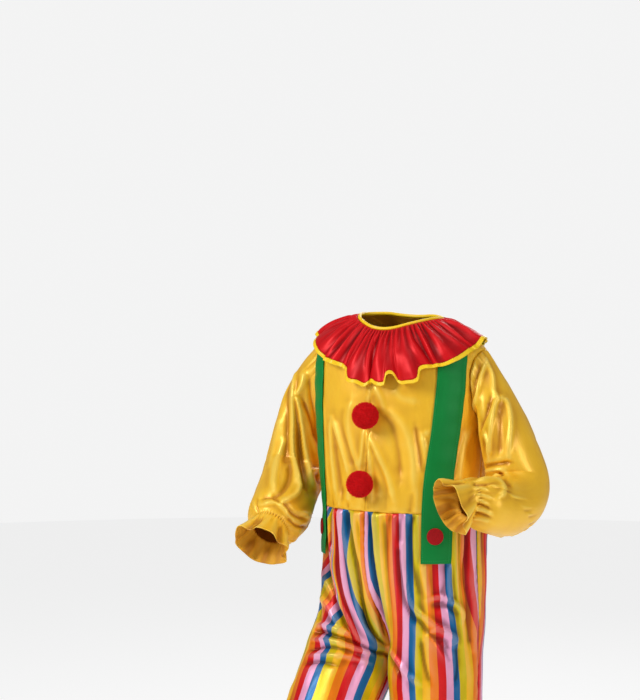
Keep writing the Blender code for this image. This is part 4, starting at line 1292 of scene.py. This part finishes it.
# Where the edge is drawn up or stands off, beyond that: around, reach, stand.
collarSteps = np.array((
    (0.000, -0.02, 0.003), (0.006, -0.06, 0.004), (0.018, 0.00, 0.000), (0.033, 0.01, 0.001),
    (0.038, -0.14, 0.010), (0.044, -0.18, 0.011), (0.050, -0.14, 0.010), (0.055, 0.02, 0.002),
    (0.070, 0.08, 0.004), (0.085, 0.08, 0.007), (0.095, -0.12, 0.000), (0.112, -0.12, 0.000),
    (0.132, -0.08, 0.002), (0.150, -0.08, 0.000), (0.180, -0.11, 0.003), (0.210, -0.09, 0.000),
    (0.250, -0.10, 0.002), (0.300, -0.06, 0.000), (0.345, -0.01, 0.002), (0.353, -0.03, 0.003),
    (0.362, 0.02, 0.001), (0.410, 0.05, 0.004), (0.424, -0.07, 0.000), (0.470, -0.03, 0.003),
    (0.500, 0.04, 0.000), (0.535, 0.06, 0.006), (0.548, -0.08, 0.000), (0.600, -0.02, 0.003),
    (0.650, 0.05, 0.000), (0.700, 0.02, 0.003), (0.711, -0.05, 0.005), (0.721, 0.02, 0.001),
    (0.770, 0.04, 0.000), (0.820, 0.00, 0.003), (0.868, 0.00, 0.000), (0.888, -0.02, 0.002),
    (0.902, -0.05, 0.005), (0.924, -0.08, 0.000), (0.945, -0.09, 0.004), (0.958, 0.04, 0.004),
    (0.978, 0.01, 0.001), (0.992, 0.04, 0.000), (1.000, -0.02, 0.003),
))


def collarTurn(around):
    return around * 2.0 * math.pi


def collarPoint(around, out, past, lift):
    turn = collarTurn(around)
    front = np.cos(turn) >= 0.0
    neck = np.where(front, trunkSize["neckFront"], trunkSize["neckBack"])
    step, stand = readRows(collarSteps, around % 1.0)
    reach = out * readRows(collarHem, around % 1.0)[0] + out**3 * step + past / collar["length"]
    x = (trunkSize["neckHalf"] + collar["start"] + collar["spread"] * reach) * np.sin(turn)
    down = (neck + collar["start"] + collar["length"] * reach) * np.abs(np.cos(turn))
    limit = readRows(trunkRows, down)[0] * 0.985
    angle = trunkAngle(np.clip(x, -limit, limit), down, front)
    wave = 0.5 - 0.5 * np.cos(collar["flutes"] * turn + 0.9 * np.sin(3.0 * turn))
    wave = wave * mix(0.55, 1.0, np.abs(np.cos(turn)))
    high = collar["lift"] + collar["flare"] * reach + collar["height"] * wave * np.minimum(reach, 1.0) ** 1.4
    high = high + stand * smooth(out) ** 2
    high = np.maximum(high + lift, mix(collar["low"], collar["clear"], smooth((reach - 0.15) / 0.25)))
    return trunk(angle, down) + trunkNormal(angle, down) * high[..., None]


def collarSway(around, out):
    # The flutes lean over to one side towards the edge, some much more than others.
    turn = collarTurn(around)
    phase = collar["flutes"] * turn + 0.9 * np.sin(3.0 * turn)
    lean = 0.75 + 0.45 * np.sin(2.0 * turn + 0.7) + 0.35 * np.sin(5.0 * turn + 2.0)
    return -collar["sway"] * lean * np.sin(phase) * smooth(out) ** 1.5


def collarCreases(around, out):
    turn = collarTurn(around)
    fade = np.exp(-((out / 0.45) ** 2))
    phase = collar["pleats"] * turn + 2.4 * np.sin(7.0 * turn) + 1.6 * np.sin(3.0 * turn + 1.0)
    fine = collar["fine"] * ((0.5 + 0.5 * np.cos(phase)) ** 1.5 - 0.4) * fade * smooth(out / 0.04)
    phase = collar["folds"] * turn + 1.7 * np.sin(5.0 * turn + 2.0) + 1.2 * np.sin(out * 2.2 + 4.0 * turn)
    size = 0.65 + 0.35 * np.sin(9.0 * turn + 1.0)
    ridge = (0.5 + 0.5 * np.cos(phase)) ** 1.4 - 0.4
    middle = collar["middle"] * size * ridge * smooth(out / 0.30) * (1.0 - 0.45 * smooth((out - 0.6) / 0.4))
    return fine + middle


def makeCollar():
    spans = np.arange(collar["around"]) / collar["around"]
    out = np.linspace(0.0, 1.0, collar["rows"] + 1)
    outs, around = np.meshgrid(out, spans, indexing="ij")
    sway = collarSway(around, outs)
    points = collarPoint(around + sway, outs, 0.0 * outs, collarCreases(around, outs))
    rough = uneven(points, [collar["unevenness"]]) * smooth(outs / 0.1)
    points = points + gridNormals(points, True, True) * rough[..., None]
    width, length = collar["cut"]
    turns = np.concatenate([around, around[:, :1] + 1.0], 1)
    flat = np.stack([turns * width, np.repeat(outs[:, :1], turns.shape[1], 1) * length], -1)
    fold = foldShade(points, collarCreases(around, outs), True, collar["shadeReach"])
    piece = buildSheet("collar_satin", points, flat, True, True, collar["wall"], redSatin, fold)
    standFor(piece, "collar")
    past, around = np.meshgrid(np.linspace(collar["gap"], collar["edging"], 5), spans, indexing="ij")
    ones = np.ones_like(past)
    points = collarPoint(around + collarSway(around, ones), ones, past, collarCreases(around, ones))
    turns = np.concatenate([around, around[:, :1] + 1.0], 1)
    flat = np.stack([turns * width, np.concatenate([past, past[:, :1]], 1)], -1)
    wall = collar["edgingWall"]
    edging = buildSheet("collar_edging_binding", points, flat, True, True, wall, [bindingCloth])
    standFor(edging, "collar_edging")


def bindingFinish():
    finish = Finish("bindingCloth")
    cloth = finish.cloth()
    rib = finish.noise(finish.stretch(cloth, (900.0, 900.0, 1.0)), 1.0, 1.0)
    soft = finish.noise(finish.stretch(cloth, (60.0, 60.0, 1.0)), 1.0, 2.0)
    finish.set({
        "Base Color": finish.blend(soft * 0.5, (0.95, 0.63, 0.004), (0.86, 0.50, 0.003)),
        "Roughness": rib * 0.10 + 0.40,
        "Normal": finish.bump(soft + rib * 0.05, 0.4, 0.002),
    })
    return finish.material


bindingCloth = bindingFinish()


def curveTube(name, line, radius, finish, sides):
    # A closed round tube along a closed line of points.
    count = len(line)
    tangent = unit(np.roll(line, -1, 0) - np.roll(line, 1, 0))
    up = np.zeros_like(line) + np.array((0.0, 0.0, 1.0))
    across = unit(np.cross(tangent, up))
    lift = np.cross(across, tangent)
    turn = np.arange(sides) / sides * 2.0 * math.pi
    ring = across[:, None] * np.cos(turn)[None, :, None] + lift[:, None] * np.sin(turn)[None, :, None]
    points = line[:, None] + ring * radius
    i, j = np.meshgrid(np.arange(count), np.arange(sides), indexing="ij")
    i, j = i.ravel(), j.ravel()
    k, m = (i + 1) % count, (j + 1) % sides
    faces = np.stack([i * sides + j, i * sides + m, k * sides + m, k * sides + j], 1)[:, ::-1]
    run = np.concatenate([[0.0], np.cumsum(np.linalg.norm(np.roll(line, -1, 0) - line, axis=1))])
    size = radius * 2.0 * math.pi / sides
    corners = np.stack([
        np.stack([run[i], j * size], 1), np.stack([run[i], (j + 1) * size], 1),
        np.stack([run[i + 1], (j + 1) * size], 1), np.stack([run[i + 1], j * size], 1),
    ], 1)[:, ::-1]
    return addMesh(name, points, faces, [finish], corners)


binding = {"radius": 0.0042, "lift": 0.0024, "points": 260, "ease": 6}


def makeNeckBinding():
    turn = np.arange(binding["points"]) / binding["points"] * 2.0 * math.pi
    front = np.cos(turn) >= 0.0
    neck = np.where(front, trunkSize["neckFront"], trunkSize["neckBack"])
    down = neck * np.abs(np.cos(turn))
    angle = trunkAngle(trunkSize["neckHalf"] * np.sin(turn), down, front)
    line = trunk(angle, down) + trunkNormal(angle, down) * binding["lift"]
    for _ in range(binding["ease"]):
        line = (np.roll(line, 1, 0) + line * 2.0 + np.roll(line, -1, 0)) / 4.0
    piece = curveTube("neck_binding_cord", line, binding["radius"], bindingCloth, 14)
    standFor(piece, "neck_binding")


makeCollar()
makeNeckBinding()
print("collar sewn")

# Braces, from the front end over the shoulder to the back end.

brace = {
    "width": 0.048, "lift": 0.0034, "wall": 0.0016, "frontEnd": 0.562, "backEnd": 0.493,
    "rows": 300, "columns": 26, "cut": (0.058, 1.24), "crown": 0.0008, "dip": 0.0005,
}


def bracePoint(side, share, across, lift):
    frontDown, backDown = downAt(brace["frontEnd"]), downAt(brace["backEnd"])
    run = share * (frontDown + backDown)
    down = np.abs(frontDown - run)
    x = braceCentre(down) + (across - 0.5) * brace["width"]
    angle = trunkAngle(x, down, run < frontDown) * sideSign[side]
    return trunk(angle, down) + trunkNormal(angle, down) * (brace["lift"] + lift)[..., None]


stitch = {
    "pitch": 0.0046, "length": 0.0034, "thick": 0.0007, "braceInset": 0.0034, "braceFromEnd": 0.0036,
    "edging": 0.0016, "closure": (0.0035, 0.0225),
    # Along the thread as a share of its length, then rise and width as shares of its thickness.
    "shape": ((-0.50, -0.5, 0.45), (-0.28, 0.1, 1.0), (0.28, 0.1, 1.0), (0.50, -0.5, 0.45)),
}


def braceRelief(side, share, across):
    seed = 3.0 if side == "left" else 9.0
    edge = 2.0 * np.abs(across - 0.5)
    fromStitches = edge - 1.0 + 2.0 * stitch["braceInset"] / brace["width"]
    crown = brace["crown"] * (1.0 - edge**2) - brace["dip"] * np.exp(-((fromStitches / 0.05) ** 2))
    wave = 0.0007 * np.sin(share * 61.0 + seed) * np.cos(across * 3.0 + share * 17.0)
    return crown + wave + 0.0005 * np.sin(share * 137.0 + seed * 2.0)


def makeBraces():
    for side in ("left", "right"):
        shares = np.linspace(0.0, 1.0, brace["rows"] + 1)
        share, across = np.meshgrid(shares, np.linspace(0.0, 1.0, brace["columns"] + 1), indexing="ij")
        length = brace["cut"][1]
        points = bracePoint(side, share, across, braceRelief(side, share, across))
        flat = np.stack([across * brace["width"], share * length], -1)
        flip = side == "right"
        piece = buildSheet(f"brace_{side}_satin", points, flat, False, flip, brace["wall"], greenSatin)
        standFor(piece, f"brace_{side}")


makeBraces()
print("braces sewn")

# Felt buttons.

button = {
    "radius": 0.019, "thick": 0.0032, "below": 0.500, "bevel": 0.0009, "rings": 5, "ringWidth": 0.003,
    # From the trunk's form, over the brace, the half of its wall and the stitches.
    "lift": 0.0034 + 0.0008 + 0.0003 + 0.0004,
}


def feltFinish():
    finish = Finish("buttonFelt")
    place = finish.place()
    hairs = finish.noise(place, 900.0, 4.0, 1.5)
    soft = finish.noise(place, 160.0, 3.0)
    finish.set({
        "Base Color": finish.blend(hairs * 0.6 + soft * 0.3, (0.48, 0.010, 0.014), (0.30, 0.006, 0.010)),
        "Roughness": 0.95,
        "Normal": finish.bump(hairs * 0.7 + soft * 0.6, 0.9, 0.0012),
        "Specular IOR Level": 0.2,
    })
    return finish.material


def standOn(angle, down, height):
    normal = trunkNormal(np.array(angle), np.array(down))
    place = Vector(trunk(np.array(angle), np.array(down)) + normal * height)
    return Matrix.Translation(place) @ Vector(normal).to_track_quat("Z", "Y").to_matrix().to_4x4()


def settle(piece, matrix):
    # The place goes into the mesh, so that the object sits at the origin.
    piece.data.transform(matrix)
    piece.matrix_world = Matrix.Identity(4)


def dress(piece, finish):
    piece.data.shade_smooth()
    piece.data.materials.clear()
    piece.data.materials.append(finish)


def makeButtons():
    felt = feltFinish()
    down = downAt(button["below"])
    for side in ("left", "right"):
        bpy.ops.mesh.primitive_cylinder_add(vertices=96, radius=button["radius"], depth=button["thick"])
        piece = bpy.context.object
        piece.name = f"brace_button_{side}_felt"
        bpy.ops.object.mode_set(mode="EDIT")
        bpy.ops.mesh.select_all(action="DESELECT")
        bpy.ops.object.mode_set(mode="OBJECT")
        for edge in piece.data.edges:
            ends = [piece.data.vertices[v].co for v in edge.vertices]
            edge.select = all(end.z > 0 for end in ends)
        bpy.ops.object.mode_set(mode="EDIT")
        bpy.ops.mesh.bevel(offset=button["bevel"], segments=3, affect="EDGES")
        bpy.ops.mesh.select_all(action="DESELECT")
        bpy.ops.object.mode_set(mode="OBJECT")
        for face in piece.data.polygons:
            face.select = face.normal.z > 0.9 and len(face.vertices) > 20
        bpy.ops.object.mode_set(mode="EDIT")
        for _ in range(button["rings"]):
            bpy.ops.mesh.inset(thickness=button["ringWidth"])
        bpy.ops.mesh.select_all(action="SELECT")
        bpy.ops.mesh.normals_make_consistent(inside=False)
        bpy.ops.object.mode_set(mode="OBJECT")
        for vertex in piece.data.vertices:
            reach = math.hypot(vertex.co.x, vertex.co.y)
            if vertex.co.z > 0:
                vertex.co.z += 0.0003 * noise.noise(vertex.co * 160.0)
                vertex.co.z -= 0.0005 * (reach / button["radius"]) ** 4
            if reach > button["radius"] * 0.9:
                rough = 1.0 + 0.012 * noise.noise(vertex.co * 500.0)
                vertex.co.x *= rough
                vertex.co.y *= rough
        x = braceCentre(down)
        angle = float(trunkAngle(np.array(x), np.array(down), np.array(True))) * sideSign[side]
        settle(piece, standOn(angle, down, button["lift"] + button["thick"] / 2))
        dress(piece, felt)
        standFor(piece, f"brace_button_{side}")


makeButtons()
print("buttons sewn")

# Stitches, each a short arched thread that dips into the cloth at both ends.


def threadFinish(name, light, dark):
    finish = Finish(name)
    twist = finish.noise(finish.place(), 1500.0, 2.0, 1.0)
    finish.set({
        "Base Color": finish.blend(twist, light, dark),
        "Roughness": twist * 0.12 + 0.48,
        "Normal": finish.bump(twist, 0.5, 0.0003),
    })
    return finish.material


def sewRows(name, rows, finish):
    # Each row is a line of points on the cloth and the way out of it at each point.
    sewn = []
    for line, out in rows:
        run = np.concatenate([[0.0], np.cumsum(np.linalg.norm(np.diff(line, axis=0), axis=1))])
        count = max(int(run[-1] / stitch["pitch"]), 1)
        middle = (np.arange(count) + 0.5) / count * run[-1]

        def at(values, spot):
            return np.stack([np.interp(spot, run, values[:, k]) for k in range(3)], 1)

        half = stitch["length"] / 2
        tangent = unit(at(line, middle + half) - at(line, middle - half))
        away = at(out, middle)
        away = unit(away - tangent * (away * tangent).sum(1, keepdims=True))
        side = np.cross(tangent, away)
        for along, rise, wide in stitch["shape"]:
            centre = at(line, middle) + tangent * along * stitch["length"] + away * rise * stitch["thick"]
            reach = wide * stitch["thick"] / 2
            sewn.append([centre + way * reach for way in (side, away, -side, -away)])
    stations = len(stitch["shape"])
    points = [np.stack(sum(sewn[k:k + stations], []), 1) for k in range(0, len(sewn), stations)]
    points = np.concatenate(points)
    last = 4 * (stations - 1)
    quads = [(0, 1, 2, 3), (last + 3, last + 2, last + 1, last)]
    for k in range(0, last, 4):
        quads += [(k + c, k + 4 + c, k + 4 + (c + 1) % 4, k + (c + 1) % 4) for c in range(4)]
    faces = (np.array(quads)[None] + (np.arange(len(points)) * 4 * stations)[:, None, None]).reshape(-1, 4)
    piece = addMesh(name, points, faces, [finish])
    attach(piece, "root")


def braceRow(side, share, across):
    lift = braceRelief(side, share, across) + brace["wall"] / 2
    line = bracePoint(side, share, across, lift)
    return line, bracePoint(side, share, across, lift + 0.001) - line


def makeStitches():
    fromEnd = stitch["braceFromEnd"] / brace["cut"][1]
    inset = stitch["braceInset"] / brace["width"]
    share = np.linspace(fromEnd, 1.0 - fromEnd, 401)
    spots = np.linspace(inset, 1.0 - inset, 25)
    for side in ("left", "right"):
        rows = [braceRow(side, share, np.full_like(share, across)) for across in (inset, 1.0 - inset)]
        for end in (fromEnd * 2.0, 1.0 - fromEnd * 2.0):
            rows.append(braceRow(side, np.full_like(spots, end), spots))
        sewRows(f"brace_{side}_stitches", rows, greenThread)
    around = np.linspace(0.0, 1.0, 1601)
    ones = np.ones_like(around)
    swayed, creases = around + collarSway(around, ones), collarCreases(around, ones)
    line, above = (
        collarPoint(swayed, ones, stitch["edging"] * ones, creases + lift)
        for lift in (collar["edgingWall"] / 2, collar["edgingWall"] / 2 + 0.001)
    )
    sewRows("collar_edging_stitches", [(line, above - line)], yellowThread)
    down = np.linspace(downAt(trunkSize["waistBelow"]) - 0.006, trunkSize["neckBack"] + 0.012, 81)
    rows = []
    for distance in stitch["closure"]:
        angle = math.pi - distance / readRows(trunkRows, down)[0]
        out = trunkNormal(angle, down)
        rows.append((trunk(angle, down) + out * closure["thread"], out))
    sewRows("closure_stitches", rows, yellowThread)


greenThread = threadFinish("greenThread", (0.03, 0.44, 0.12), (0.006, 0.22, 0.05))
yellowThread = threadFinish("yellowThread", (0.90, 0.62, 0.03), (0.70, 0.42, 0.01))
makeStitches()
print("stitches sewn")

# Pompoms: a core, and short curled yarn ends all over it.

pompom = {
    "radius": 0.0315, "shift": 0.006, "below": {"pompom_upper": 0.229, "pompom_lower": 0.385},
    "lift": 0.0010, "yarns": 2300, "yarn": 0.0052, "thick": 0.00062,
}


def yarnFinish():
    finish = Finish("pompomYarn")
    place = finish.place()
    tone = finish.noise(place, 420.0, 3.0)
    soft = finish.noise(place, 60.0, 2.0)
    finish.set({
        "Base Color": finish.blend(tone * 0.5 + soft * 0.4, (0.86, 0.010, 0.014), (0.60, 0.005, 0.008)),
        "Roughness": 0.9,
        "Normal": finish.bump(tone, 0.6, 0.0008),
        "Specular IOR Level": 0.2,
    })
    return finish.material


def yarnMesh(seed):
    dice = np.random.default_rng(seed)
    core = pompom["radius"] - pompom["yarn"] * 0.8
    count = pompom["yarns"]
    k = np.arange(count) + 0.5
    height = 1.0 - 2.0 * k / count
    turn = math.pi * (1.0 + 5.0**0.5) * k
    flatReach = np.sqrt(1.0 - height * height)
    out = np.stack([flatReach * np.cos(turn), flatReach * np.sin(turn), height], 1)
    out = unit(out + dice.normal(0.0, 0.02, (count, 3)))
    lean = unit(np.cross(out, dice.normal(0.0, 1.0, (count, 3))))
    other = np.cross(out, lean)
    size = pompom["yarn"] * dice.uniform(0.75, 1.15, count)
    bend = dice.uniform(0.1, 0.9, count)
    points, faces = [], []
    for step, (rise, thick) in enumerate(((0.0, 1.0), (0.45, 1.0), (0.8, 0.8), (1.0, 0.35))):
        middle = out * (core - 0.001 + size * rise)[:, None]
        middle += lean * (size * bend * rise * rise * 0.7)[:, None]
        for corner in range(4):
            angle = corner * math.pi / 2
            side = lean * math.cos(angle) + other * math.sin(angle)
            points.append(middle + side * pompom["thick"] * thick)
    points = np.array(points).transpose(1, 0, 2)
    quads = []
    for step in range(3):
        for corner in range(4):
            after = (corner + 1) % 4
            quads.append((step * 4 + corner, step * 4 + after, step * 4 + 4 + after, step * 4 + 4 + corner))
    quads.append((12, 13, 14, 15))
    faces = (np.array(quads)[None] + (np.arange(count) * 16)[:, None, None]).reshape(-1, 4)
    return points.reshape(-1, 3), faces


def makePompoms():
    yarn = yarnFinish()
    for seed, (name, below) in enumerate(pompom["below"].items()):
        bpy.ops.mesh.primitive_ico_sphere_add(subdivisions=5, radius=pompom["radius"] - pompom["yarn"] * 0.8)
        piece = bpy.context.object
        piece.name = name + "_yarn"
        for vertex in piece.data.vertices:
            vertex.co *= 1.0 + 0.02 * noise.noise(vertex.co * 150.0) + 0.012 * noise.noise(vertex.co * 500.0)
        ends = addMesh(name + "_ends", *yarnMesh(5 + seed), [])
        pick(piece, ends)
        bpy.ops.object.join()
        piece.select_set(False)
        down = downAt(below)
        angle = float(trunkAngle(np.array(pompom["shift"]), np.array(down), np.array(True)))
        settle(piece, standOn(angle, down, pompom["lift"] + pompom["radius"]))
        dress(piece, yarn)
        standFor(piece, name)


makePompoms()
print("pompoms tied")

print("done")
